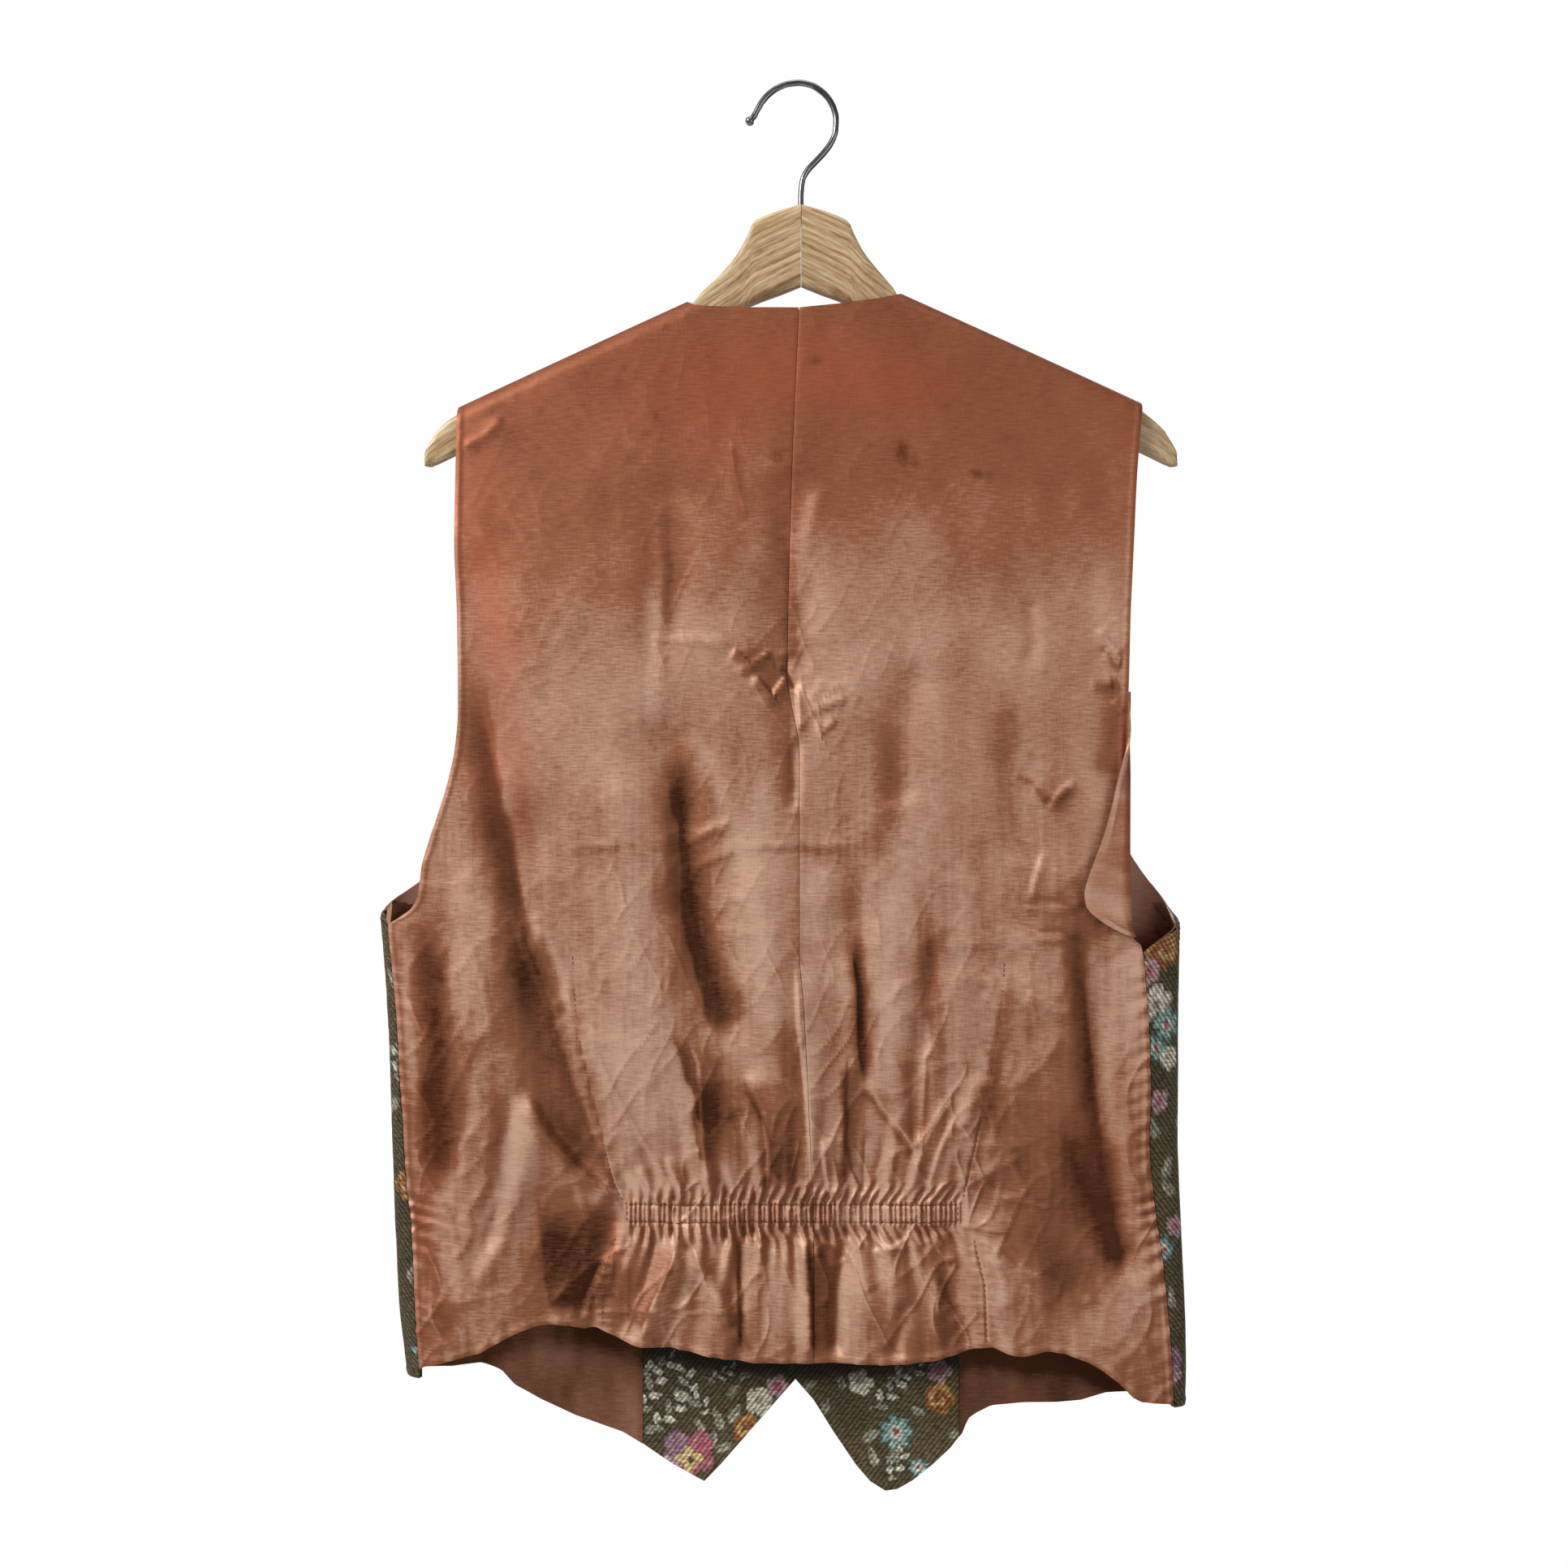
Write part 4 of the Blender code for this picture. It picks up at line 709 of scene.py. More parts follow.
# Painted highlights and painted shade as ovals: x, height, half width, half length, turn, amount:
# above 0 lighter, below 0 darker
satinPaintedLightAndShade = (
    (-205, -560, 9, 90, 0, -0.5), (-178, -420, 7, 70, 13, -0.45), (-150, -530, 11, 55, 17, -0.62),
    (-128, -620, 9, 30, 33, -0.45), (-190, -500, 14, 60, 0, 0.28), (-172, -600, 16, 60, 8, 0.3),
    (-132, -680, 26, 26, 0, -0.75), (-120, -704, 10, 16, -25, -0.3),
    (-78, -290, 4, 48, 0, -0.32), (-70, -420, 7, 40, -6, -0.5), (-60, -500, 13, 34, 14, -0.75),
    (-36, -548, 12, 20, 28, -0.7), (-46, -600, 13, 22, 8, -0.55), (-24, -470, 16, 60, 0, 0.42),
    (-20, -530, 14, 16, 30, 0.25), (-92, -500, 18, 80, 0, 0.3), (-10, -560, 7, 34, 0, -0.2),
    (4, -560, 6, 60, 0, 0.4), (30, -520, 5, 50, 0, -0.5), (34, -590, 5, 34, -4, -0.35),
    (46, -520, 8, 60, 4, 0.4), (74, -520, 6, 60, 6, -0.3), (64, -590, 7, 40, 8, -0.35),
    (62, -460, 14, 60, 0, 0.35), (86, -560, 6, 50, 8, 0.35), (110, -470, 8, 40, 0, 0.15),
    (170, -520, 6, 80, -3, -0.8), (180, -640, 7, 70, -6, -0.72), (188, -470, 7, 30, 0, 0.2),
    (192, -560, 6, 70, 0, 0.3), (196, -690, 7, 60, 0, 0.1), (140, -540, 24, 70, 0, -0.1),
    (130, -640, 40, 26, 12, -0.5), (158, -690, 24, 26, 0, -0.45), (112, -690, 8, 26, 8, 0.15),
    (8, -320, 10, 60, 0, 0.28), (24, -350, 14, 26, -30, 0.25), (-6, -300, 4, 50, 0, -0.3),
    (-18, -352, 9, 6, 0, -0.28), (-30, -335, 8, 4, 0, -0.25), (54, -400, 8, 60, -6, -0.24),
    (84, -420, 20, 60, 0, 0.22), (-52, -330, 26, 40, 0, 0.16), (-110, -380, 24, 60, 0, 0.12),
    (190, -350, 5, 40, 0, -0.25), (184, -405, 5, 45, -3, -0.42), (176, -320, 8, 40, 0, 0.2),
    (150, -420, 10, 60, 0, -0.12), (-205, -440, 14, 30, 20, 0.2), (-60, -690, 12, 20, 20, -0.3),
    (-76, -684, 5, 26, -25, 0.35), (-44, -690, 8, 24, 20, 0.3), (-20, -700, 8, 30, 0, 0.25),
    (-2, -704, 6, 26, 0, 0.35), (14, -700, 6, 30, 0, -0.4), (34, -690, 8, 20, 0, 0.2),
    (44, -708, 7, 20, 0, -0.3), (66, -690, 8, 24, 0, -0.15), (84, -690, 6, 24, 0, -0.35),
    (-100, -700, 8, 24, -18, -0.3), (-4, -656, 108, 5, 0, 0.32), (-90, -640, 22, 8, 0, 0.2),
    (104, -652, 20, 8, 0, 0.25), (-212, -700, 10, 40, 0, 0.1), (-176, -725, 26, 6, 0, 0.12),
    (120, -520, 12, 10, 0, 0.18), (60, -250, 20, 16, 0, 0.1), (-16, -222, 10, 5, 0, 0.35),
    (16, -190, 30, 30, 0, 0.06), (-60, -640, 40, 6, 0, 0.12), (30, -640, 50, 6, 0, 0.15),
    (-192, -600, 24, 60, 0, -0.75), (180, -640, 18, 55, 0, -1.4), (176, -590, 10, 40, 0, -0.5),
    (-128, -676, 17, 25, 0, -1.6), (-140, -265, 60, 60, 0, -0.2),
    (-95, -570, 26, 40, 0, 0.45), (135, -590, 24, 50, 0, -0.3),
)
# Painted shade streaks, written as the creases are; a step is dark on one side.
satinPaintedShadeStreaks = [  # these first, in millimetres
    ("soft", 9, 0.7, ((146, -596), (154, -620), (163, -640), (178, -671), (185, -694))),
    ("soft", 7, 0.75, ((-212, -488), (-208, -560), (-206, -640))),
    ("soft", 5, 0.35, ((-222, -640), (-214, -690), (-200, -730))),
] + readRows((
    ("step", 20, 0.62, 811.6, 926.7, 827.6, 990.5, 837, 1054, 840, 1137, 856, 1214, 888, 1284),
    ("soft", 9, 0.35, 815, 880, 832, 960, 850, 1060, 862, 1140, 890, 1210, 915, 1275),
    ("step", 20, 0.6, 856, 1328, 863, 1373, 875, 1400),
    ("sharp", 2.6, 0.8, 913.7, 1322, 926, 1354, 942, 1392, 948.8, 1424, 942, 1475),
    ("step", 13, 0.4, 913.7, 1322, 926, 1354, 942, 1392, 948.8, 1424, 942, 1475),
    ("step", 18, -0.55, 585, 799, 607.6, 907.6, 629.9, 1035, 645.8, 1137, 671, 1226, 703, 1328.5,
     735, 1418, 760.6, 1475),
    ("soft", 7, 0.5, 515, 1130, 525, 1250, 520, 1400, 535, 1480),
    ("step", 12, -0.38, 1340, 1130, 1343, 1240, 1352, 1340, 1362, 1420, 1380, 1520, 1392, 1600),
    ("soft", 6, 0.4, 1365, 1400, 1378, 1480, 1392, 1570),
    ("soft", 3.5, 0.6, 1052, 1140, 1056, 1220, 1062, 1331),
    ("step", 9, 0.4, 1052, 1140, 1056, 1220, 1062, 1331),
    ("step", 10, 0.3, 1140, 1120, 1145, 1260, 1130, 1420),
    ("step", 14, -0.5, 835.7, 1529, 812, 1588, 787.8, 1644),
    ("sharp", 2, 0.6, 835.7, 1529, 812, 1588, 787.8, 1644),
    ("step", 10, -0.14, 909, 1513, 911, 1590, 910.6, 1665),
    ("sharp", 1.6, 0.7, 909, 1513, 911, 1590, 910.6, 1665),
    ("step", 15, 0.34, 995, 1529, 1000, 1600, 1003, 1668),
    ("sharp", 2, 0.7, 995, 1529, 1000, 1600, 1003, 1668),
    ("step", 10, 0.45, 1154.5, 1560, 1153, 1610, 1154.5, 1665),
    ("step", 12, 0.5, 827.6, 1271, 856, 1354, 862.6, 1449.6),
    ("sharp", 1.8, 0.6, 827.6, 1271, 856, 1354, 862.6, 1449.6),
    ("step", 16, -0.35, 987, 1252, 990, 1370, 993.4, 1475),
    ("sharp", 1.8, 0.7, 1038, 1309, 1041, 1390, 1041, 1469),
    ("sharp", 2.2, 0.6, 1057, 1341, 1090, 1380, 1130, 1424),
    ("sharp", 1.5, 0.5, 1237, 1190, 1232, 1260, 1222, 1330, 1206, 1410, 1196, 1470),
    ("step", 9, 0.3, 1237, 1190, 1232, 1260, 1222, 1330, 1206, 1410),
    ("sharp", 1.5, 0.5, 706, 1190, 712, 1270, 726, 1350, 745, 1440, 762, 1480),
    ("step", 7, -0.4, 965, 600, 972, 680, 970, 760, 968, 810),
    ("soft", 4, 0.3, 820, 610, 822, 700, 816, 775),
    ("soft", 3, 0.3, 900, 540, 906, 590, 912, 640),
    ("step", 8, 0.5, 955, 828, 968, 840, 975, 830),
    ("sharp", 3, 0.6, 895, 800, 925, 818, 952, 810),
    ("step", 9, -0.35, 968, 835, 972, 880, 975, 930, 978, 990),
    ("sharp", 2, 0.6, 1250, 955, 1275, 968, 1288, 985, 1300, 992, 1320, 965),
    ("sharp", 2.5, 0.5, 1352, 790, 1368, 810, 1384, 825),
    ("sharp", 2.5, 0.5, 1345, 840, 1365, 852, 1384, 848),
    ("soft", 6, 0.45, 1375, 830, 1372, 900, 1360, 960),
    ("soft", 8, 0.3, 1095, 880, 1090, 1000, 1065, 1060),
    ("soft", 10, 0.25, 1245, 820, 1240, 940, 1262, 1050, 1255, 1160),
    ("sharp", 1.8, 0.45, 1255, 1115, 1300, 1113, 1338, 1116),
    ("sharp", 1.8, 0.45, 1255, 1158, 1300, 1150, 1335, 1150),
    ("sharp", 1.2, 0.3, 690, 1043, 780, 1042, 870, 1040),
    ("sharp", 1.2, 0.3, 920, 1044, 990, 1046, 1075, 1044),
    ("soft", 16, 0.5, 690, 1500, 715, 1560, 720, 1620),
    ("step", 22, 0.5, 655, 1480, 665, 1540, 680, 1620),
    ("soft", 14, 0.35, 1250, 1520, 1290, 1550, 1320, 1600),
))
# Painted highlight streaks, written the same way.
satinPaintedHighlightStreaks = [  # these first, in millimetres
    ("soft", 4, 0.45, ((-228, -482), (-225, -560), (-221, -640))),
] + readRows((
    ("step", 13, 0.4, 1340, 1130, 1343, 1240, 1352, 1340, 1362, 1420),
    ("soft", 4, 0.6, 640, 1330, 632, 1400, 610, 1470, 570, 1560, 545, 1620),
    ("soft", 4, 0.5, 600, 1290, 585, 1360, 565, 1430, 545, 1500),
    ("soft", 5, 0.35, 655, 1360, 655, 1440, 640, 1510, 615, 1580),
    ("step", 12, 0.4, 987, 1252, 990, 1370, 993.4, 1475),
    ("step", 15, 0.2, 1043, 1545, 1036, 1600, 1028.6, 1668),
    ("sharp", 2.5, 0.5, 1119.5, 1535.7, 1150, 1585, 1183, 1634.5),
    ("soft", 3, 0.45, 862, 1561, 878, 1590, 892, 1610),
    ("step", 12, 0.4, 835.7, 1529, 812, 1588, 787.8, 1644),
    ("step", 11, -0.4, 827.6, 1271, 856, 1354, 862.6, 1449.6),
    ("soft", 5, 0.3, 800, 700, 806, 800, 800, 900),
    ("soft", 6, 0.35, 870, 900, 900, 1010, 925, 1100, 950, 1200),
    ("soft", 9, 0.35, 1000, 1040, 1015, 1140, 1030, 1240),
    ("soft", 8, 0.35, 1100, 1080, 1105, 1180, 1100, 1300),
    ("soft", 7, 0.35, 1180, 1030, 1185, 1120, 1178, 1240),
    ("soft", 6, 0.4, 870, 1250, 900, 1290, 945, 1320),
    ("sharp", 1.8, 0.6, 668, 1140, 690, 1200, 706, 1250),
    ("sharp", 1.8, 0.5, 655, 1120, 668, 1180, 684, 1230),
    ("sharp", 1.8, 0.5, 812, 1030, 850, 1020, 884, 1016),
    ("sharp", 1.5, 0.45, 830, 1095, 870, 1108, 945, 1112),
    ("sharp", 1.5, 0.35, 850, 1120, 890, 1140, 930, 1150),
    ("soft", 8, 0.4, 1018, 1060, 1010, 1100, 1005, 1160),
    ("sharp", 2.5, 0.5, 1090, 1400, 1110, 1370, 1130, 1330),
    ("sharp", 2.5, 0.5, 1130, 1440, 1150, 1400, 1162, 1350),
    ("sharp", 2.5, 0.4, 1010, 1400, 1030, 1430, 1050, 1440),
    ("soft", 5, 0.5, 770, 1440, 785, 1465, 810, 1482),
    ("soft", 5, 0.4, 700, 1480, 730, 1478, 765, 1476),
    ("sharp", 2, 0.45, 690, 1600, 720, 1560, 750, 1535),
    ("sharp", 2, 0.4, 1200, 1545, 1250, 1560, 1290, 1585),
))
satinFade = (  # salmon areas
    (-178, -310, 14, 60, 8, 0.95), (-166, -400, 16, 50, 10, 0.6), (0, -170, 80, 26, 0, 0.6),
    (-54, -200, 30, 30, 0, 0.35), (60, -180, 46, 18, -12, 0.35), (188, -420, 10, 60, 0, 0.4),
    (196, -560, 10, 60, 0, 0.2), (-210, -200, 20, 40, 0, 0.25), (190, -240, 16, 60, 0, 0.4),
    (-212, -660, 14, 60, 0, 0.25), (170, -610, 30, 50, 0, 0.25),
)
satinStains = (  # old marks, none of them a copy of another
    (-14, -219, 4.5, 3, 0, 0.55), (58, -217, 3.6, 6, 8, 0.8), (66, -222, 3, 3, 0, 0.4),
    (101, -229, 3.4, 1.6, -10, 0.75), (108, -231, 2.2, 1.8, 0, 0.6), (136, -233, 16, 0.9, -3, 0.45),
    (-106, -175, 3, 4, 0, 0.2), (-84, -196, 2.4, 5, 20, 0.35), (-90, -206, 4, 3, 0, 0.2),
    (5, -163, 6, 0.9, -4, 0.6), (-180, -256, 5, 8, 10, 0.28), (-170, -262, 3, 5, 0, 0.25),
    (-202, -228, 3, 8, 0, 0.3), (-125, -318, 6, 9, 0, 0.18), (-118, -286, 5, 7, 0, 0.15),
    (-98, -220, 5, 5, 0, 0.16), (-150, -358, 4, 3, 0, 0.2), (-62, -236, 7, 8, 0, 0.14),
    (-188, -214, 2, 2, 0, 0.35), (40, -192, 5, 2, 0, 0.2), (84, -190, 4, 3, 0, 0.2),
    (-78, -337, 3, 1.4, 0, 0.35), (-140, -398, 3, 4, 0, 0.2), (118, -208, 5, 2, 0, 0.18),
    (60, -442, 5, 1.2, 0, 0.3), (-2, -442, 5, 1.6, 0, 0.3), (-178, -190, 3, 7, -60, 0.3),
)


def makeSatin(name, body, light, deep, wear):
    # Acetate satin: a smooth face of long floats over a slubby weft, so it shines in
    # broad soft patches and shows fine level lines close to.
    material, tree = newMaterial(name)
    flat = add(tree, "UVMap", uv_map="cloth").outputs[0]
    slub, weft = satinLook["slubMm"] * mm, satinLook["weftMm"] * mm
    across = add(tree, "Mapping", {"Vector": flat, "Scale": (1 / slub, 1 / weft, 1.0)})
    upright = add(tree, "Mapping", {"Vector": flat, "Scale": (1 / weft, 1.6 / slub, 1.0)})
    weftNoise = add(tree, "TexNoise", {"Vector": across.outputs[0], "Scale": 1.0, "Detail": 2.0})
    warpNoise = add(tree, "TexNoise", {"Vector": upright.outputs[0], "Scale": 1.0, "Detail": 2.0})
    cloud = add(tree, "TexNoise", {"Vector": flat, "Scale": 26.0, "Detail": 4.0,
                                   "Roughness": 0.6})
    weave = add(tree, "Math", {0: weftNoise.outputs[0], 1: 0.7}, operation="MULTIPLY")
    weave = add(tree, "Math", {0: warpNoise.outputs[0], 1: 0.3, 2: weave.outputs[0]},
                operation="MULTIPLY_ADD")
    # the tone attribute holds painted shade and painted highlights besides the cloth's own uneven
    # tone; it picks deep, body or light colour
    tone = add(tree, "Attribute", attribute_name="tone").outputs["Fac"]
    tone = add(tree, "Math", {0: weave.outputs[0], 1: 1.15, 2: tone}, operation="MULTIPLY_ADD")
    tone = add(tree, "Math", {0: cloud.outputs[0], 1: 0.5, 2: tone.outputs[0]},
               operation="MULTIPLY_ADD")
    lower = add(tree, "MapRange", {"Value": tone.outputs[0], "From Min": 0.40, "From Max": 1.32})
    upper = add(tree, "MapRange", {"Value": tone.outputs[0], "From Min": 1.32, "From Max": 2.1})
    first = add(tree, "Mix", {0: lower.outputs[0], 6: (*linear(deep), 1.0),
                              7: (*linear(body), 1.0)}, data_type="RGBA")
    second = add(tree, "Mix", {0: upper.outputs[0], 6: first.outputs[2],
                               7: (*linear(light), 1.0)}, data_type="RGBA")
    colour = second.outputs[2]
    if wear:
        fade = add(tree, "Attribute", attribute_name="fade").outputs["Fac"]
        stain = add(tree, "Attribute", attribute_name="stain").outputs["Fac"]
        rubbed = add(tree, "Mix", {0: fade, 6: colour, 7: (*linear(satinLook["faded"]), 1.0)},
                     data_type="RGBA")
        blotch = add(tree, "TexNoise", {"Vector": flat, "Scale": 420.0, "Detail": 3.0})
        mark = add(tree, "Math", {0: stain, 1: blotch.outputs[0]}, operation="MULTIPLY")
        mark = add(tree, "Math", {0: mark.outputs[0], 1: 1.7}, operation="MULTIPLY",
                   use_clamp=True)
        marked = add(tree, "Mix", {0: mark.outputs[0], 6: rubbed.outputs[2],
                                   7: (*linear(satinLook["stain"]), 1.0)}, data_type="RGBA")
        colour = marked.outputs[2]
    rough = add(tree, "MapRange", {"Value": weave.outputs[0], "From Min": 0.3, "From Max": 0.7,
                                   "To Min": satinLook["smoothest"],
                                   "To Max": satinLook["roughest"]})
    bump = add(tree, "Bump", {"Height": weave.outputs[0], "Strength": 0.45,
                              "Distance": satinLook["weaveDepthMm"] * mm})
    finishShader(tree, {
        "Base Color": colour, "Roughness": rough.outputs[0], "Normal": bump.outputs[0],
        "Metallic": 0.22, "Specular IOR Level": 0.55, "Specular Tint": (*linear("E9B48E"), 1.0),
        "Sheen Weight": 0.04, "Sheen Roughness": 0.35, "Sheen Tint": (*linear("E8C0A4"), 1.0)})
    return material


backSatin = makeSatin("acetateSatinWoven", satinLook["body"], satinLook["light"],
                      satinLook["deep"], True)
# the lining's deep and light colours are likewise painted shade and painted highlight
liningSatin = makeSatin("liningSatinWoven", "8F5F48", "C0917A", "40200F", False)
backGrid = {
    "columns": ((0.0, 0.5, 186), (0.5, 0.93, 54), (0.93, 1.0, 24)),
    "levels": ((-240.0, 24), (-560.0, 140), (-636.0, 42), (-674.0, 54)),
    "hemRows": 43,
    "guesses": (-140.0, -735.0),  # near the top and the hem, to start from
}


def backTop(x):
    left, right = neckPoint[-1][0], neckPoint[1][0]
    return np.where((x >= left) & (x <= right), straight(backNeck, x, 1), ridgeHeight(x))


def backToneAndPaintedShade(x, z, detail):
    # The tone is painted highlight and painted shade: raised where the cloth turns up or to the
    # left and lowered where it turns away, so it follows the slopes as well as the painted ovals.
    height = detail + foldHeight(x, z, backFolds)
    slopeX = np.gradient(height, axis=1) / np.gradient(x, axis=1)
    slopeZ = np.gradient(height, axis=0) / np.gradient(z, axis=0)
    raggedX = x + 1.6 * softNoise(x, z, 9.0, 15.0, 77) + 0.8 * softNoise(x, z, 3.0, 6.0, 79)
    raggedZ = z + 3.0 * softNoise(x, z, 12.0, 16.0, 81)
    painted = blobs(raggedX, raggedZ, satinPaintedLightAndShade, 1.5)
    tone = 0.76 + 0.55 * np.tanh(1.5 * painted)
    tone += 0.85 * creaseHeight(raggedX, raggedZ, satinPaintedHighlightStreaks)
    tone -= 1.15 * creaseHeight(raggedX, raggedZ, satinPaintedShadeStreaks)
    tone += 0.5 * np.tanh(1.8 * (slopeX - 0.8 * slopeZ))
    tone += 0.14 * softNoise(x, z, 30.0, 55.0, 71) + 0.10 * softNoise(x, z, 13.0, 30.0, 73)
    tone += 0.12 * softNoise(x, z, 2.4, 26.0, 75) * ease((-300.0 - z) / 200.0)
    # painted shade along the shoulder top, towards the bottom and towards the top of the back
    tone -= 0.30 * ease((10.0 - ridgeHeight(x) + z) / 10.0)
    tone -= 0.25 * ease((-690.0 - z) / 60.0) + 0.46 * ease((z + 330.0) / 160.0)
    span = np.where(tone < 0.6, 1.25, 0.85)
    return 0.6 + span * np.tanh((tone - 0.6) / span)


def backPanel(side):
    share = spread(backGrid["columns"])

    def placeX(z):
        start = glide(centreSeam, z, 1) + side * 0.5 * seamGap
        return start + share * (glide(backEdge[side], z, 1) - start)

    nearTop, nearHem = (np.full(share.shape, height) for height in backGrid["guesses"])
    top = settleHeight(placeX, backTop, nearTop)
    hem = settleHeight(placeX, lambda x: straight(backHem, x, 1), nearHem)
    levels = list(backGrid["levels"]) + [(hem, backGrid["hemRows"])]
    z = heightRows(top, levels, form["shoulderRound"])
    x = placeX(z)
    detail = backDetail(x, z, side)
    outer = np.stack((x, faceDepth(x, z, -1, detail), z), axis=-1)
    base = np.stack((x, faceDepth(x, z, -1, lowest(detail, 4)), z), axis=-1)
    plain = np.stack((x, faceDepth(x, z, -1), z), axis=-1)
    inner = base - gridNormals(plain, side) * form["backCloth"]
    walked = unrolled(outer, "start")
    flat = np.stack((side * walked, z), axis=-1)
    fade = 0.5 * blobs(x, z, satinFade) + 0.24 * ease((z + 330.0) / 160.0)
    fade += 0.12 * ease((np.abs(x) - 196.0) / 26.0)
    fields = {"tone": backToneAndPaintedShade(x, z, detail), "fade": np.clip(fade, 0, 1),
              "stain": np.clip(1.9 * blobs(x, z, satinStains), 0, 1)}
    piece = clothWall("backPanel" + sideWord[side], outer, inner, side < 0, backSatin, flat,
                      fields)
    return rideAs(piece, "satin", "back_" + sideWord[side].lower()), outer


backLeft, _ = backPanel(-1)
backRight, rightGrid = backPanel(1)
print("back panels made:", len(backLeft.data.polygons), len(backRight.data.polygons))


allowanceForm = {"top": -133.4, "bottom": -732.0, "halfWidth": 8.0, "thick": 0.6,
                 "below": 0.9, "rows": 298, "columns": 13}


# Seam allowance pressed open behind the centre seam: a strip under both panels, at the
# deeper of their inner sides.
def makeAllowance():
    half = allowanceForm["halfWidth"]
    heights = np.linspace(allowanceForm["top"], allowanceForm["bottom"], allowanceForm["rows"])
    across = np.linspace(-half, half, allowanceForm["columns"])
    z = heights[:, None] + 0.0 * across
    x = glide(centreSeam, z, 1) + across
    depth = np.minimum(backDetail(x, z, -1), backDetail(x, z, 1))
    y = faceDepth(x, z, -1, lowest(depth, 2) - form["backCloth"] - allowanceForm["below"])
    outer = np.stack((x, y, z), axis=-1)
    inner = outer + np.array((0.0, allowanceForm["thick"], 0.0))
    flat = np.stack((across + 0.0 * z, z), axis=-1)
    tone = np.full(x.shape, 0.2)
    strip = clothWall("centreSeamAllowance", outer, inner, False, liningSatin, flat,
                      {"tone": tone})
    return rideAs(strip, "satin")


allowance = makeAllowance()


# Armhole edge of the right back panel, turned over by hanging

flapForm = {"bend": 1.5, "top": -355.0, "bottom": -496.0, "rows": 141, "columns": 27}


# A bend of one radius turned through the table's angle, then a straight run of the table's
# width. Both start from the panel's last column, along its outward normal.
def makeTurnedEdge(panel):
    heights = np.linspace(flapForm["top"], flapForm["bottom"], flapForm["rows"] + 1)
    order = np.argsort(panel[:, -1, 2])
    edge = np.stack([np.interp(heights, panel[order, -1, 2], panel[order, -1, k])
                     for k in range(3)], axis=-1)
    rise = faceDepth(edge[:, 0], heights, -1) - faceDepth(edge[:, 0] - 3.0, heights, -1)
    tangent = np.stack((3.0 + 0.0 * rise, rise, 0.0 * rise), axis=-1)
    tangent /= np.linalg.norm(tangent, axis=1, keepdims=True)
    normal = np.stack((tangent[:, 1], -tangent[:, 0], 0.0 * heights), axis=-1)
    bend = flapForm["bend"] * (0.15 + 0.85 * ease((flapForm["top"] - heights) / 60.0))[:, None]
    count = flapForm["columns"] + 1
    share = np.linspace(0.0, 1.0, count)
    turnShare, runShare = np.clip(share / 0.3, 0, 1), np.clip((share - 0.3) / 0.7, 0, 1)
    full = np.radians(glide(turnedEdge, heights, 2))[:, None]
    reach = glide(turnedEdge, heights, 1)[:, None]
    angle, width = full * turnShare, reach * runShare
    alongT = bend * np.sin(angle) + width * np.cos(full)
    alongN = bend * (1.0 - np.cos(angle)) + width * np.sin(full)
    wave = 0.15 * softNoise(heights[:, None] + 0.0 * share, 9.0 * runShare + 0.0 * angle, 9.0,
                           6.0, 83) * runShare
    roll = 0.9 * np.exp(-((width - reach + 1.3) / 1.0) ** 2)
    alongN = alongN + wave + roll * runShare
    outer = (edge[:, None] + alongT[..., None] * tangent[:, None]
             + alongN[..., None] * normal[:, None])
    flat = np.stack((0.3 * bend * math.tau * turnShare + width, heights[:, None] + 0 * width), -1)
    inward = gridNormals(outer, 1)
    inner = outer - inward * form["backCloth"]
    # the satin's other side shows here, with a painted highlight along the rolled rim and in a band
    # near the lower end, and painted shade in the bend
    x, z = outer[..., 0], outer[..., 2]
    tone = 0.72 + 0.55 * np.exp(-((width - reach + 1.3) / 1.3) ** 2) * ease(reach / 4.0)
    tone = tone - 0.5 * ease(1.0 - width / 3.0) + 0.22 * softNoise(x, z, 14.0, 5.0, 89)
    tone += 0.5 * np.exp(-((z + 478.0 + 0.4 * (x - 180.0)) / 8.0) ** 2)
    piece = clothWall("armholeTurnedEdge", outer, inner, False, backSatin, flat,
                      {"tone": tone, "fade": 0.12 + 0.0 * tone, "stain": 0.0 * tone})
    return rideAs(piece, "lining")


turnedPiece = makeTurnedEdge(rightGrid)
print("turned armhole edge made")

# Flowers of the tapestry

tapestryLook = {
    "ground": "6C5F42",          # olive
    "groundDark": "544A34",
    "roughness": 0.9,
    "twillMm": 2.5,              # a real twill line is 1 mm; drawn this coarse to show
    "threadMm": 1.3,
    "ragged": 0.9,               # woven outlines step from thread to thread
}
yarn = {
    "cream": "ECE4CE", "grey": "B4AE9A", "sage": "9C9A82", "teal": "5E827A",
    "paleTeal": "A6BFB4", "mauve": "967482", "palePink": "C3A0A2", "rose": "B4616B",
    "red": "93363F", "ochre": "C8995E", "orange": "9E6238", "yellow": "DCC084",
    "dark": "2B2620", "pink": "A9656B",
}
colourOf = {name: linear(value) for name, value in yarn.items()}


# A field of petals: r and turn are polar places in units of the flower's radius. The edge
# is a cosine round the flower; the inner rings are circles.
def petalShape(r, turn, petals, depth, sharpness=1.0):
    wave = np.abs(np.cos(0.5 * petals * turn)) ** sharpness
    return 1.0 - depth + depth * wave - r


def paint(colour, mask, name, amount=1.0):
    strength = (np.clip(mask, 0.0, 1.0) * amount)[:, None]
    return colour * (1.0 - strength) + colourOf[name] * strength


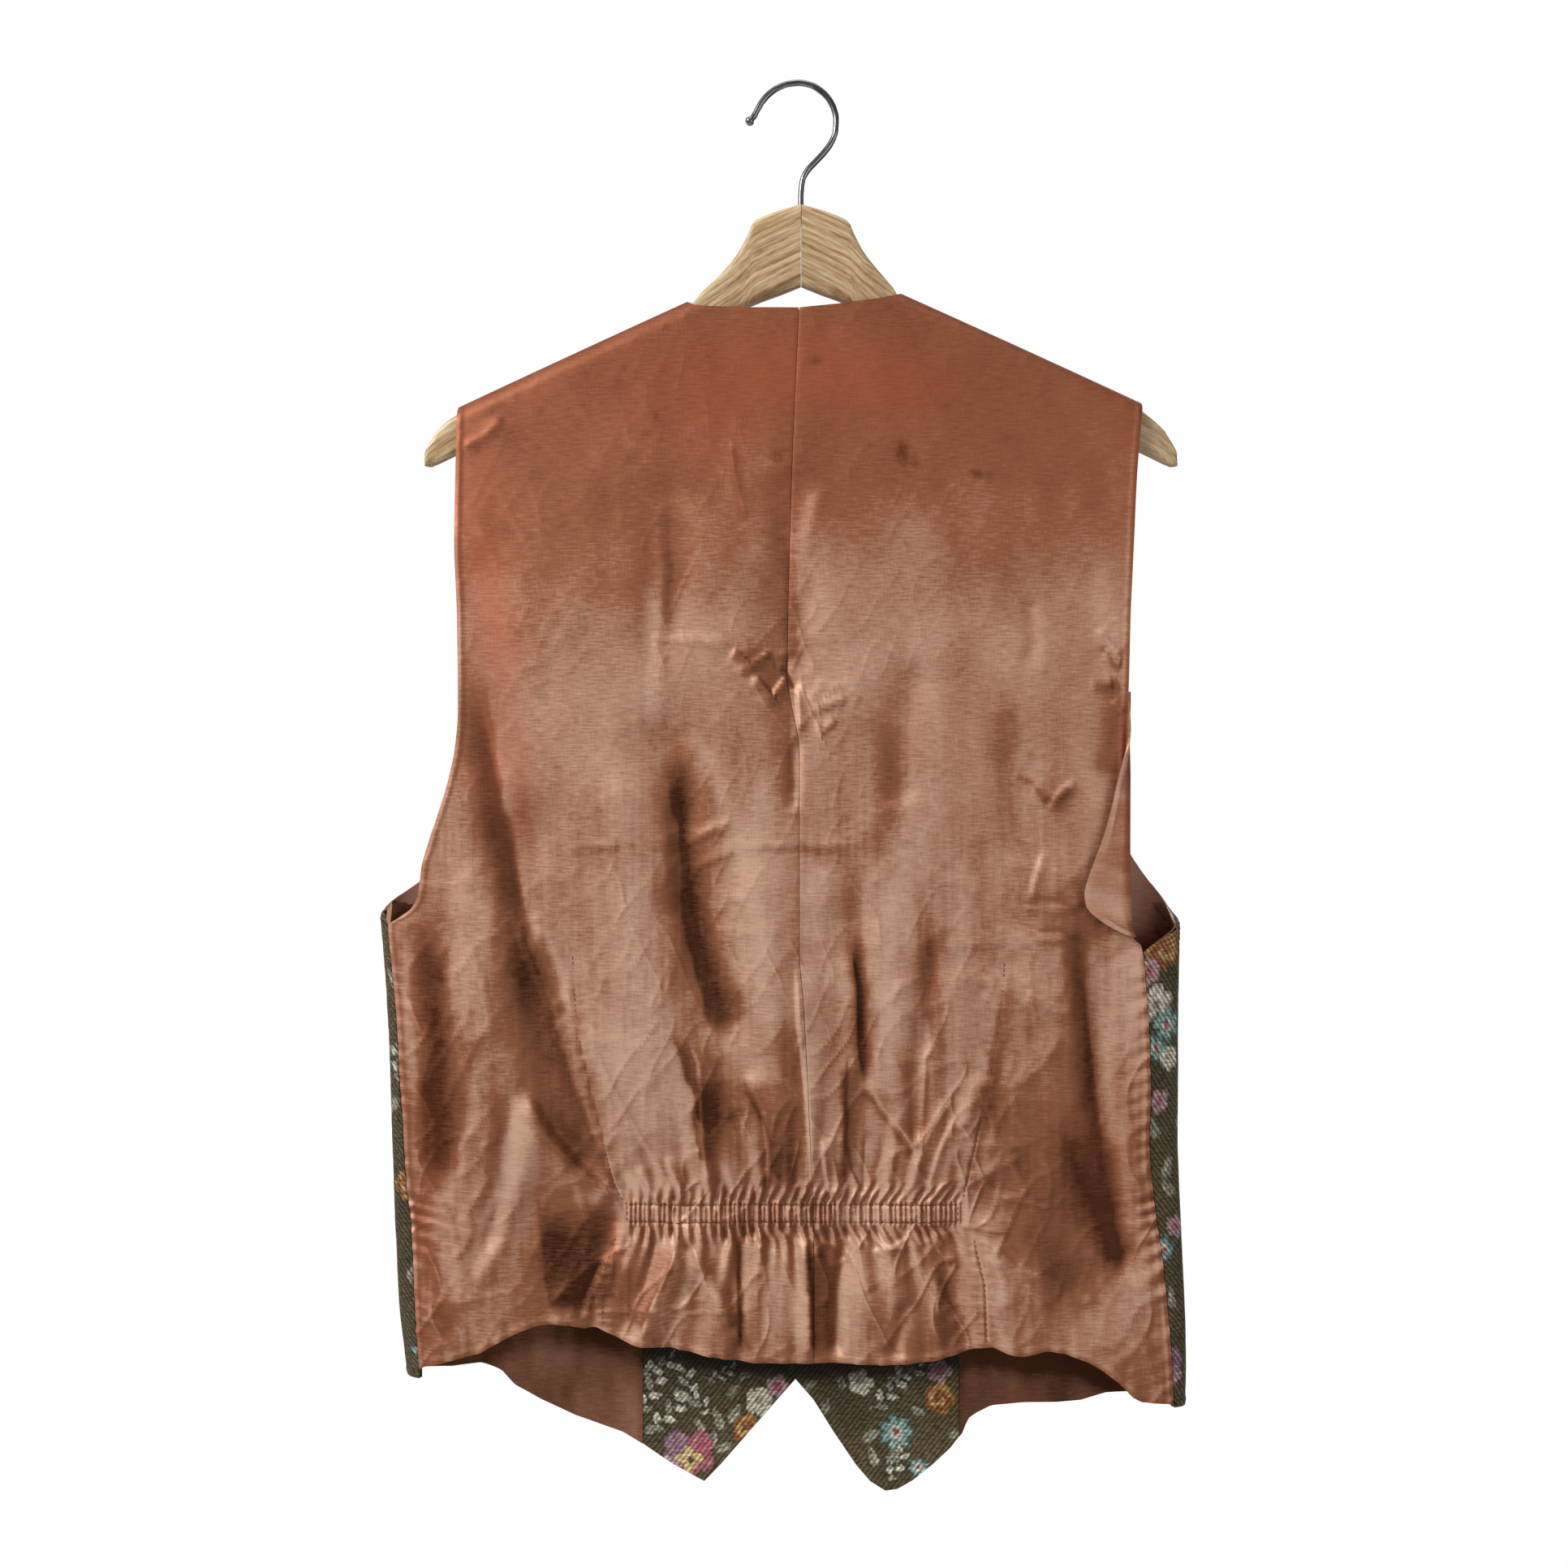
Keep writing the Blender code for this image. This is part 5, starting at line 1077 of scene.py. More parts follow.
def drawPansy(colour, p, q, edge):
    # two large upper petals, mauve and rose, over three smaller ones
    petals = ((-0.56, -0.20, 0.40, 0.36, "palePink"), (0.56, -0.34, 0.40, 0.36, "pink"),
              (0.0, -0.58, 0.42, 0.34, "rose"), (-0.46, 0.36, 0.50, 0.50, "mauve"),
              (0.44, 0.30, 0.48, 0.52, "rose"))
    for atP, atQ, wide, tall, name in petals:
        gap = np.hypot((p - atP) / wide, (q - atQ) / tall) + edge
        colour = paint(colour, (1.08 - gap) / 0.06, "dark", 0.6)
        colour = paint(colour, (1.0 - gap) / 0.06, name)
        vein = np.sin(11.0 * np.arctan2(q - atQ * 0.2, p - atP * 0.2)) * (gap > 0.35)
        colour = paint(colour, ((0.97 - gap) / 0.2) * (vein > 0.35), "palePink", 0.45)
    r, turn = np.hypot(p, q + 0.22) + edge, np.arctan2(q + 0.22, p)
    colour = paint(colour, petalShape(r, turn, 4, 0.30) / 0.05 - 9.0, "yellow")
    return paint(colour, (0.14 - np.hypot(p - 0.06, q + 0.30)) / 0.05, "dark", 0.9)


def drawRose(colour, p, q, edge):
    r, turn = np.hypot(p, q) + edge, np.arctan2(q, p)
    colour = paint(colour, petalShape(r, turn, 5, 0.16) / 0.05, "orange")
    swirl = np.sin(9.0 * r + turn + 0.8 * np.sin(3.0 * turn))
    colour = paint(colour, (petalShape(r, turn, 5, 0.16) / 0.06) * (swirl > 0.1), "ochre", 0.9)
    colour = paint(colour, (0.62 - r) / 0.1 * (swirl > 0.55), "yellow", 0.9)
    return paint(colour, (0.2 - r) / 0.06, "red", 0.8)


def drawStar(colour, p, q, edge):
    r, turn = np.hypot(p, q) + edge, np.arctan2(q, p)
    outer = petalShape(r, turn, 7, 0.48, 0.7)
    colour = paint(colour, (outer + 0.05) / 0.05, "dark", 0.5)
    colour = paint(colour, outer / 0.05, "teal")
    colour = paint(colour, (outer - 0.16) / 0.06, "paleTeal", 0.85)
    colour = paint(colour, (0.34 - r) / 0.05, "cream", 0.8)
    return paint(colour, (0.22 - r) / 0.05, "rose")


def drawBlossom(colour, p, q, edge):
    r, turn = np.hypot(p, q) + edge, np.arctan2(q, p)
    outer = petalShape(r, turn, 5, 0.34, 0.6)
    colour = paint(colour, outer / 0.05, "cream")
    colour = paint(colour, (outer / 0.06) * (np.sin(19.0 * turn) > 0.55), "grey", 0.7)
    colour = paint(colour, (0.27 - r) / 0.05, "mauve", 0.9)
    return paint(colour, (0.13 - r) / 0.05, "yellow", 0.9)


def drawSpray(colour, p, q, edge):
    # a bent stalk with long narrow leaves in pairs
    bend = 0.18 * p * p
    stalk = np.abs(q - bend) - 0.035
    colour = paint(colour, (-stalk / 0.04 + 0.6) * (np.abs(p) < 0.95), "sage")
    for k in range(6):
        at = -0.78 + 0.3 * k
        way = 1.0 if k % 2 else -1.0
        dp, dq = p - at, (q - bend) * way
        along, off = 0.66 * dp + 0.75 * dq, 0.66 * dq - 0.75 * dp
        tip = along - 0.27
        leaf = 1.0 - np.hypot(tip / 0.28, off / (0.14 - 0.16 * tip)) - edge
        colour = paint(colour, (leaf + 0.4) / 0.2, "dark", 0.55)
        colour = paint(colour, leaf / 0.14, "grey")
        colour = paint(colour, (leaf - 0.16) / 0.14, "cream" if k % 3 else "sage", 0.85)
        colour = paint(colour, (leaf / 0.14) * (np.abs(off) < 0.018), "dark", 0.5)
    return colour


def drawLeaf(colour, p, q, edge):
    leaf = 1.0 - np.hypot(p, q / (0.42 * (1.05 - 0.35 * p))) - 0.6 * edge
    colour = paint(colour, leaf / 0.12, "grey")
    colour = paint(colour, (leaf / 0.12) * (q > 0.03), "sage")
    return paint(colour, (leaf / 0.12) * (np.abs(q) < 0.045), "dark", 0.7)


def drawBud(colour, p, q, edge):
    r, turn = np.hypot(p, q) + edge, np.arctan2(q, p)
    colour = paint(colour, petalShape(r, turn, 5, 0.3) / 0.08, "palePink")
    return paint(colour, (0.42 - r) / 0.1, "rose", 0.9)


drawings = {"pansy": drawPansy, "rose": drawRose, "star": drawStar, "blossom": drawBlossom,
            "spray": drawSpray, "leaf": drawLeaf, "bud": drawBud}
tileSize = (152.0, 168.0)
# one repeat of the cloth, charted: kind, x, height, radius and turn in degrees
tile = (
    ("spray", 22, 142, 19, 35), ("spray", 44, 128, 17, 100), ("spray", 10, 118, 15, 150),
    ("pansy", 30, 96, 14.5, 8), ("rose", 66, 112, 10, 0), ("leaf", 52, 92, 7.5, 60),
    ("leaf", 48, 78, 7, -30), ("blossom", 78, 140, 9.5, 20), ("leaf", 92, 128, 7, 140),
    ("star", 116, 104, 11, 10), ("leaf", 100, 92, 7.5, 200), ("leaf", 104, 78, 7, 120),
    ("leaf", 122, 82, 7, 60), ("rose", 140, 132, 10.5, 30), ("bud", 128, 152, 7.5, 0),
    ("spray", 108, 146, 19, 60), ("blossom", 12, 62, 9.5, 0), ("leaf", 24, 48, 7, 20),
    ("spray", 52, 44, 19, -25), ("star", 34, 24, 10.5, 30), ("bud", 60, 18, 7, 0),
    ("leaf", 14, 14, 7, 100), ("pansy", 92, 44, 14, -20), ("rose", 118, 30, 9.5, 60),
    ("spray", 138, 54, 17, 80), ("leaf", 80, 68, 6.5, 170), ("leaf", 140, 10, 7, -60),
    ("bud", 88, 8, 6.5, 40), ("leaf", 108, 12, 6.5, 30),
)
# flowers given one by one where the photo shows the facings and the front edges from behind
placedFlowers = {
    -1: (
        ("spray", -89, -768.9, 16, 62), ("spray", -79.7, -782.4, 15, 42),
        ("spray", -66.2, -765.8, 14, 95),
        ("spray", -84.9, -753.3, 13, 20), ("spray", -57.8, -776.2, 12, 140),
        ("leaf", -88, -790, 5, 30), ("leaf", -60, -788, 5, 120), ("leaf", -40, -768, 5, 50),
        ("leaf", -52, -796, 5.5, 80), ("leaf", -33, -759, 4.5, 20),
        ("blossom", -25, -774.1, 9, 0), ("leaf", -39.1, -781.4, 6.5, 55),
        ("leaf", -48.5, -785.5, 6, 100),
        ("pansy", -66.2, -804.2, 15.5, 0), ("rose", -32.2, -790.2, 9, 0),
        ("bud", -13.8, -765.8, 7.5, 0),
        ("leaf", -45.4, -801.1, 5.5, 20), ("spray", -47.4, -758.5, 10, 20),
    ),
    1: (
        ("leaf", 5.5, -763.7, 5, 30), ("leaf", 15, -775.7, 5, 70),
        ("blossom", 35.3, -762.2, 8, 0),
        ("spray", 52.4, -768.9, 15, 48), ("spray", 62.8, -757.4, 12, 15),
        ("star", 56.6, -791.8, 11.5, 0),
        ("leaf", 41.7, -793.8, 6.5, 30), ("leaf", 42.6, -805.8, 6.5, 110),
        ("leaf", 54.7, -805.8, 6.5, 60), ("star", 69.7, -813, 6.5, 30),
        ("rose", 82.1, -772, 9.5, 0), ("bud", 82.1, -756, 8, 0), ("leaf", 69, -779.3, 5, 150),
        ("spray", 57, -812, 12, 60), ("leaf", 24, -762, 5, 110), ("leaf", 92, -808, 5, 40),
        ("leaf", 62.8, -828.2, 5, 90), ("leaf", 91.9, -792.8, 5, 20),
    ),
}
sideFlowers = {
    -1: (
        ("leaf", 236, -480, 6, 100), ("rose", 231, -640, 8, 0), ("leaf", 228, -520, 6, 60),
        ("spray", 233, -570, 14, 80), ("leaf", 230, -690, 6, 120),
    ),
    1: (
        ("rose", 209, -503, 13, 0), ("bud", 200, -516, 8, 0), ("blossom", 204, -534, 11, 20),
        ("star", 211, -547, 11, 0), ("star", 204, -560, 8, 20), ("blossom", 212, -566, 7, 0),
        ("bud", 206, -591, 7, 0), ("leaf", 203, -606, 7, 60), ("leaf", 212, -630, 7, 110),
        ("leaf", 212, -642, 6, 40), ("star", 209, -676, 8, 20), ("leaf", 214, -705, 6, 90),
    ),
}


# Colour of the cloth at each point: the tile's flowers over an olive ground, then those
# given one by one. A flower is drawn only where the points are near it.
def tapestryColour(flatX, z, placed, clear, seed, cell=1.3):
    shape = flatX.shape
    x, z = flatX.ravel(), z.ravel()
    shade = 0.5 + 0.5 * softNoise(x, z, 26.0, 34.0, seed)
    colour = (linear(tapestryLook["ground"]) * shade[:, None]
              + linear(tapestryLook["groundDark"]) * (1.0 - shade[:, None]))
    rag = tapestryLook["ragged"]
    raggedX = x + rag * softNoise(x, z, cell, cell, 101)
    raggedZ = z + rag * softNoise(x, z, cell, cell, 103)
    edge = 0.05 * softNoise(x, z, 2.2, 2.2, 107)
    wide, tall = tileSize
    jobs = []
    firstX, lastX = math.floor(x.min() / wide) - 1, math.ceil(x.max() / wide) + 1
    firstZ, lastZ = math.floor(z.min() / tall) - 1, math.ceil(z.max() / tall) + 1
    for i in range(firstX, lastX):
        for j in range(firstZ, lastZ):
            jobs += [(kind, i * wide + atX + 0.5 * wide * (j % 2), j * tall + atZ, size, turn)
                     for kind, atX, atZ, size, turn in tile]
    jobs = [job for job in jobs if not clear(job[1], job[2]) and all(
        math.hypot(job[1] - row[1], job[2] - row[2]) > job[3] + row[3] for row in placed)]
    for kind, atX, atZ, size, turn in jobs + list(placed):
        near = np.flatnonzero((np.abs(x - atX) < 1.3 * size) & (np.abs(z - atZ) < 1.3 * size))
        if len(near) == 0:
            continue
        a = math.radians(turn)
        dx, dz = (raggedX[near] - atX) / size, (raggedZ[near] - atZ) / size
        p, q = dx * math.cos(a) + dz * math.sin(a), dz * math.cos(a) - dx * math.sin(a)
        colour[near] = drawings[kind](colour[near], p, q, edge[near])
    worn = 1.0 + 0.12 * softNoise(x, z, 1.1, 1.1, 109) + 0.08 * softNoise(x, z, 9.0, 9.0, 113)
    return np.clip(colour * worn[:, None], 0.0, 1.0).reshape(*shape, 3)


def makeTapestry():
    # Wool and cotton tapestry twill: matt, with fine slanting lines, and figures whose
    # floats stand a little above the ground.
    material, tree = newMaterial("tapestryTwillWoven")
    flat = add(tree, "UVMap", uv_map="cloth").outputs[0]
    figure = add(tree, "Attribute", attribute_name="figure").outputs["Color"]
    turned = add(tree, "Mapping", {"Vector": flat, "Rotation": (0.0, 0.0, math.radians(38))})
    line = math.tau / 20.0 / (tapestryLook["twillMm"] * mm)
    twill = add(tree, "TexWave", {"Vector": turned.outputs[0], "Scale": line,
                                  "Distortion": 1.2, "Detail": 1.0, "Detail Scale": 2.0},
                wave_type="BANDS", bands_direction="X")
    level = add(tree, "Mapping", {"Vector": flat, "Scale": (0.3, 1.0, 1.0)})
    thread = add(tree, "TexNoise", {"Vector": level.outputs[0], "Detail": 1.0,
                                    "Scale": 1.0 / (tapestryLook["threadMm"] * mm)})
    shade = add(tree, "MapRange", {"Value": twill.outputs["Fac"], "To Min": 0.5,
                                   "To Max": 1.42})
    grain = add(tree, "MapRange", {"Value": thread.outputs[0], "From Min": 0.3,
                                   "From Max": 0.7, "To Min": 0.55, "To Max": 1.55})
    both = add(tree, "Math", {0: shade.outputs[0], 1: grain.outputs[0]}, operation="MULTIPLY")
    colour = add(tree, "VectorMath", {0: figure, "Scale": both.outputs[0]}, operation="SCALE")
    relief = add(tree, "Math", {0: twill.outputs["Fac"], 1: thread.outputs[0]}, operation="ADD")
    bump = add(tree, "Bump", {"Height": relief.outputs[0], "Strength": 0.5,
                              "Distance": 0.15 * mm})
    finishShader(tree, {
        "Base Color": colour.outputs[0], "Normal": bump.outputs[0],
        "Roughness": tapestryLook["roughness"], "Sheen Weight": 0.08, "Sheen Roughness": 0.5,
        "Specular IOR Level": 0.25})
    return material


tapestryTwill = makeTapestry()

# Fronts, and the facing and lining that lie inside them

frontGrid = {
    "columns": ((0.0, 0.08, 24), (0.08, 0.2, 24), (0.2, 1.0, 72), (1.0, 2.0, 66)),
    "upperRows": 150,            # from the top to the join
    "lowerRows": 81,             # from there to the level
    "pointRows": 54,             # from there to the hem
    "join": -520.0,
    "level": -704.0,
    "guesses": (-160.0, -770.0),  # near the top and the hem, to start from
    "tableHeights": (-112.0, -834.0, -2.0),
    "tableColumns": 1000,
    "bendSteps": 160,
    "flatSteps": 200,
    "bendPower": 1.75,
}


def frontStart(z, side):
    def turned(x, face, atMiddle, atHalf):
        across = np.clip(side * (x - atMiddle) / atHalf, 0.0, 1.0)
        angle = np.degrees(np.arcsin(across ** (0.5 * form["squareness"])))
        return np.where(np.asarray(face) < 0, angle, 180.0 - angle)

    rows = np.array(frontArmhole[side], float)
    angles = turned(rows[:, 1], rows[:, 2], *ringSpan(rows[:, 0]))
    armhole = straight(np.stack((rows[:, 0], angles), -1).tolist(), z, 1)
    seam = glide(backEdge[side], z, 1) + side * form["sideSeamGap"]
    return np.where(z < rows[-1, 0], turned(seam, -1, *ringSpan(z)), armhole)


def lapStep(x, z, side):
    near = 1.0 - ease(np.abs(x) / lap["spread"])
    return -side * lap["lift"] * near * ease((lap["from"] - z) / lap["fall"])


# Sections of a front at close heights: each runs round the squared ring from the front's
# outer edge and then straight to the front edge, and is cut where the facing's edge lies.
def frontSections(side):
    heights = np.arange(*frontGrid["tableHeights"])
    z = heights[:, None]
    middle, half = ringSpan(z)
    flatFrom = 180.0 - math.degrees(math.asin(0.8 ** (0.5 * form["squareness"])))
    start = frontStart(z, side)
    power = frontGrid["bendPower"]  # brings the points together round the fold
    fromBend = np.sign(start - 90.0) * (np.abs(start - 90.0) / 90.0) ** (1.0 / power)
    toBend = ((flatFrom - 90.0) / 90.0) ** (1.0 / power)
    along = np.linspace(0, 1, frontGrid["bendSteps"])
    bend = fromBend + (np.maximum(toBend, fromBend) - fromBend) * along
    angle = np.radians(90.0 + np.sign(bend) * np.abs(bend) ** power * 90.0)
    x = middle + side * half * np.sin(angle) ** (2.0 / form["squareness"])
    y = np.where(angle < 0.5 * math.pi, faceDepth(x, z, -1), faceDepth(x, z, 1))
    onward = np.linspace(0, 1, frontGrid["flatSteps"])[1:]
    flatX = x[:, -1:] + (frontEdge[side] - x[:, -1:]) * onward
    flatY = faceDepth(flatX, z, 1) + lapStep(flatX, z, side)
    x, y = np.concatenate((x, flatX), 1), np.concatenate((y, flatY), 1)
    steps = np.hypot(np.diff(x, axis=1), np.diff(y, axis=1))
    walked = np.concatenate((0.0 * z, np.cumsum(steps, axis=1)), axis=1)
    shares = np.linspace(0.0, 2.0, frontGrid["tableColumns"] + 1)
    tableX, tableY = [], []
    for k in range(len(heights)):  # one turn for each section
        fold = int(np.argmax(side * x[k]))
        edge = straight(facingEdge[side], heights[k], 1)
        meet = np.interp(-side * edge, -side * x[k, fold:], walked[k, fold:])
        at = np.interp(shares, (0.0, 1.0, 2.0), (0.0, meet, walked[k, -1]))
        tableX.append(np.interp(at, walked[k], x[k]))
        tableY.append(np.interp(at, walked[k], y[k]))
    return heights, np.array(tableX), np.array(tableY)


# Place between four entries of the sections' table, by share across and height
def readSections(table, shares, z):
    heights, tableX, tableY = table
    row = np.clip((z - heights[0]) / frontGrid["tableHeights"][2], 0, len(heights) - 1.001)
    last = frontGrid["tableColumns"]
    column = np.clip(0.5 * last * shares, 0, last - 0.001)
    i, j = row.astype(int), column.astype(int)
    a, b = row - i, column - j
    places = []
    for values in (tableX, tableY):
        upper = values[i, j] * (1 - b) + values[i, j + 1] * b
        lower = values[i + 1, j] * (1 - b) + values[i + 1, j + 1] * b
        places.append(upper * (1 - a) + lower * a)
    return places


def frontTop(x, side):
    neckX, neckZ = neckPoint[side]
    t = (x - neckX) / (frontEdge[side] - neckX)
    return np.where(side * x >= side * neckX, ridgeHeight(x), neckZ + t * (vBottom - neckZ))


# Folds and puckers of a front, in by its side seam and out along its edges
def frontDetail(x, z, face, side, share):
    detail = np.where(face > 0, creaseHeight(x, z, frontCreases), 0.0)
    walkedIn = share * 300.0
    low = ease((-480.0 - z) / 40.0)
    wander = 2.0 * softNoise(0.0 * x, z, 1.0, 21.0, 131)
    detail += low * 0.7 * np.sin(math.tau * z / 9.6 + wander) * np.exp(-walkedIn / 7.0)
    detail += 0.35 * softNoise(x, z, 26.0, 44.0, 137) + 0.2 * softNoise(x, z, 9.0, 15.0, 139)
    hem = straight(frontHem[side], x, 1)
    detail += 0.4 * np.exp(-((z - hem - 2.5) / 2.0) ** 2)
    return detail - 0.3 * np.exp(-((2.0 - share) * 95.0 - 4.5) ** 2 / 0.8)


# A cloth's grid on a front's sections: share across, place, way out and fine detail.
def layOnFront(side, grid):
    table, shares = sections[side], spread(grid["columns"])
    place = lambda z: readSections(table, shares, z)[0]
    nearTop, nearHem = (np.full(shares.shape, height) for height in frontGrid["guesses"])
    top = settleHeight(place, lambda x: frontTop(x, side), nearTop)
    hem = settleHeight(place, lambda x: straight(frontHem[side], x, 1), nearHem)
    fan = np.linspace(0.0, 1.0, grid["upperRows"], endpoint=False) ** 1.4
    rows = [top + k * (frontGrid["join"] - top) for k in fan]
    above = frontGrid["join"] + 0.0 * top
    for level, count in ((frontGrid["level"], grid["lowerRows"]), (hem, grid["pointRows"])):
        rows += [above + (level - above) * k / count for k in range(count)]
        above = level + 0.0 * top
    z = np.array(rows + [above])
    across = shares + 0.0 * z
    x, y = readSections(table, across, z)
    base = np.stack((x, y, z), axis=-1)
    normal = gridNormals(base, side)
    face = np.where(normal[..., 1] >= 0.0, 1.0, -1.0)
    detail = frontDetail(x, z, face, side, across)
    detail *= ease((top - z) / 25.0) * np.where(across < 0.03, 0.6, 1.0)
    return across, base, normal, detail


sections = {side: frontSections(side) for side in (-1, 1)}


def makeFront(side):
    _, base, normal, detail = layOnFront(side, frontGrid)
    x, y, z = np.moveaxis(base, -1, 0)
    outer = base + normal * detail[..., None]
    inner = base + normal * (lowest(detail, 4) - form["frontCloth"])[..., None]
    walked = unrolled(outer, "end")
    flatX = frontEdge[side] - side * walked
    backward = normal[..., 1] < 0.0

    def onCloth(atX, atZ):  # place on the flat cloth of a point seen from behind
        row = int(np.argmin(np.abs(z[:, 0] - atZ)))
        return flatX[row, int(np.argmin(np.abs(x[row] - atX) + 400.0 * ~backward[row]))]

    placed = [(kind, onCloth(atX, atZ), atZ, size, turn)
              for kind, atX, atZ, size, turn in sideFlowers[side]]
    colour = tapestryColour(flatX, z, placed, lambda atX, atZ: False, 151 + side, 3.4)
    # painted shade: the colour is darkened where the cloth turns back towards the back
    colour = colour * (1.0 - 0.3 * ease(-y / 8.0))[..., None]  # duller where it turns back
    piece = clothWall("front" + sideWord[side], outer, inner, side < 0, tapestryTwill,
                      np.stack((flatX, z), axis=-1), {"figure": colour})
    return rideAs(piece, "tapestry", "front_" + sideWord[side].lower())


fronts = {side: makeFront(side) for side in (-1, 1)}
print("fronts made:", [len(piece.data.polygons) for piece in fronts.values()])

facingGrid = {"columns": ((1.0, 2.0, 129),), "upperRows": 60, "lowerRows": 30,
              "pointRows": 177}
liningGrid = {"columns": ((0.0, 0.2, 18), (0.2, 1.0, 60)), "upperRows": 96, "lowerRows": 60,
              "pointRows": 42}
# x and height of the facings' bare ground, which the photo shows without flowers
bareGround = {-1: ((-30, 12, -835, -778), (-28, 12, -745, -700)), 1: ((-14, 40, -835, -800),)}


# A cloth inside a front: the front's own sections moved in by its wall and a little air.
# The side that shows is the one that faces into the garment.
def makeInside(side, kind, grid, material, slotName, nudge, fields):
    across, base, normal, detail = layOnFront(side, grid)
    x, z = base[..., 0], base[..., 2]
    inset = lowest(detail, 4) - form["frontCloth"] - form["layerGap"] - form["innerAir"]
    shift = nudge * side * np.exp(-np.abs(across - 1.0) / 0.03)
    near = base + normal * inset[..., None]
    far = base + normal * (inset - form["innerCloth"])[..., None]
    near[..., 0] += shift
    far[..., 0] += shift
    walked = unrolled(far, "end" if nudge < 0 else "start")
    flatX = (frontEdge[side] if nudge < 0 else 0.0) - side * walked
    piece = clothWall(kind + sideWord[side], far, near, side > 0, material,
                      np.stack((flatX, z), -1), fields(x, z, flatX, across))
    return rideAs(piece, slotName, kind + "_" + sideWord[side].lower())


hemLook = {"outward": 1.04, "eyeHeight": -408.0}


# Share of the painted shade band where the insides lie against the back's hem. The hem is
# moved outward from the middle of the picture, as a level look from behind shows it.
def hemPaintedShade(x, z):
    out, eye = hemLook["outward"], hemLook["eyeHeight"]
    above = z - out * (straight(backHem, x / out, 1) - eye) - eye
    return ease((above + 17.0) / 15.0) * ease((75.0 - above) / 45.0)


def facingFields(side):
    boxes = bareGround[side]
    bare = lambda atX, atZ: atZ < -690 or any(
        a < atX < b and low < atZ < high for a, b, low, high in boxes)

    def fields(x, z, flatX, across):
        # painted shade: the facing is darkened in the band behind the back's hem
        shade = 1.0 - 0.88 * hemPaintedShade(x, z)
        placed = placedFlowers[side]
        return {"figure": tapestryColour(flatX, z, placed, bare, 163 + side) * shade[..., None]}

    return fields


def liningFields(x, z, flatX, across):
    # Painted shade and light on the linings: the right one darker than the left, lighter above the
    # join, darker in the band behind the back's hem.
    tone = 0.36 - 0.24 * np.sign(x) + 0.30 * softNoise(x, z, 14.0, 60.0, 167)
    tone += 0.16 * softNoise(x, z, 6.0, 16.0, 173)
    tone -= 0.3 * np.exp(-((1.0 - across) / 0.02) ** 2)
    tone += 0.9 * ease((z + 520.0) / 40.0)
    tone -= 0.9 * hemPaintedShade(x, z)
    return {"tone": tone}


facings, linings = {}, {}
for side in (-1, 1):
    facings[side] = makeInside(side, "facing", facingGrid, tapestryTwill, "tapestry", -0.15,
                               facingFields(side))
    linings[side] = makeInside(side, "lining", liningGrid, liningSatin, "lining", 0.15,
                               liningFields)
print("facings and linings made")


# Threads: stitch lines, dart seams and buttonholes

threadLook = {"dark": "74402A", "black": "241F1A", "roughness": 0.7}
stitchForm = {"pitch": 3.0, "length": 2.1, "radius": 0.26, "proud": 0.12, "sides": 6}


# Mercerised cotton thread: two plies twisted, seen as fine slanting lines
def makeThread(name, hexColour):
    material, tree = newMaterial(name)
    place = add(tree, "TexCoord").outputs["Object"]
    ply = add(tree, "TexNoise", {"Vector": place, "Scale": 1500.0, "Detail": 2.0})
    shade = add(tree, "MapRange", {"Value": ply.outputs[0], "From Min": 0.3, "From Max": 0.7,
                                   "To Min": 0.6, "To Max": 1.3})
    colour = add(tree, "VectorMath", {0: tuple(linear(hexColour)), "Scale": shade.outputs[0]},
                 operation="SCALE")
    bump = add(tree, "Bump", {"Height": ply.outputs[0], "Strength": 0.4, "Distance": 0.1 * mm})
    finishShader(tree, {"Base Color": colour.outputs[0], "Normal": bump.outputs[0],
                        "Roughness": threadLook["roughness"]})
    return material


# A round tube along each of many paths at once: paths are (piece, point, xyz) and radii
# (piece, point). The frame is the path's way crossed with one fixed direction.
def tubes(paths, radii, sides, upright, closed=False):
    way = (np.roll(paths, -1, 1) - np.roll(paths, 1, 1)) if closed else np.gradient(paths, axis=1)
    way /= np.linalg.norm(way, axis=2, keepdims=True)
    first = np.cross(way, np.array(upright, float))
    first /= np.linalg.norm(first, axis=2, keepdims=True)
    second = np.cross(way, first)
    turn = turns(sides)[:, None]
    rings = (paths[:, :, None] + radii[:, :, None, None]
             * (np.cos(turn) * first[:, :, None] + np.sin(turn) * second[:, :, None]))
    pieces, count = paths.shape[:2]
    index = np.arange(pieces * count * sides).reshape(pieces, count, sides)
    after = np.roll(index, -1, axis=2)
    onward = np.roll(index, -1, axis=1), np.roll(after, -1, axis=1)
    last = count if closed else count - 1
    quads = np.stack((index[:, :last], after[:, :last], onward[1][:, :last],
                      onward[0][:, :last]), axis=-1).reshape(-1, 4).tolist()
    if not closed:
        quads += index[:, 0, ::-1].tolist() + index[:, -1].tolist()
    return rings.reshape(-1, 3), quads


# Surface of the back at points over x and height
def onBack(x, z):
    side = np.where(x < glide(centreSeam, z, 1), -1.0, 1.0)
    y = np.zeros(x.shape)
    for way in (-1, 1):
        chosen = side == way
        if chosen.any():
            y[chosen] = faceDepth(x[chosen], z[chosen], -1, backDetail(x[chosen], z[chosen], way))
    return y


# Short stitches along a line on the back: each is a small tube that dips into the cloth
# at both ends.
def stitchLine(line):
    line = np.array(line, float)
    lengths = lengthsAlong(line)
    count = int(lengths[-1] / stitchForm["pitch"])
    middle = (np.arange(count) + 0.5) * lengths[-1] / count
    across = np.linspace(-0.5, 0.5, 5) * stitchForm["length"]
    at = middle[:, None] + across
    x, z = np.interp(at, lengths, line[:, 0]), np.interp(at, lengths, line[:, 1])
    dip = 0.45 * (2.0 * across / stitchForm["length"]) ** 4
    y = onBack(x, z) - stitchForm["proud"] + dip
    return np.stack((x, y, z), axis=-1)


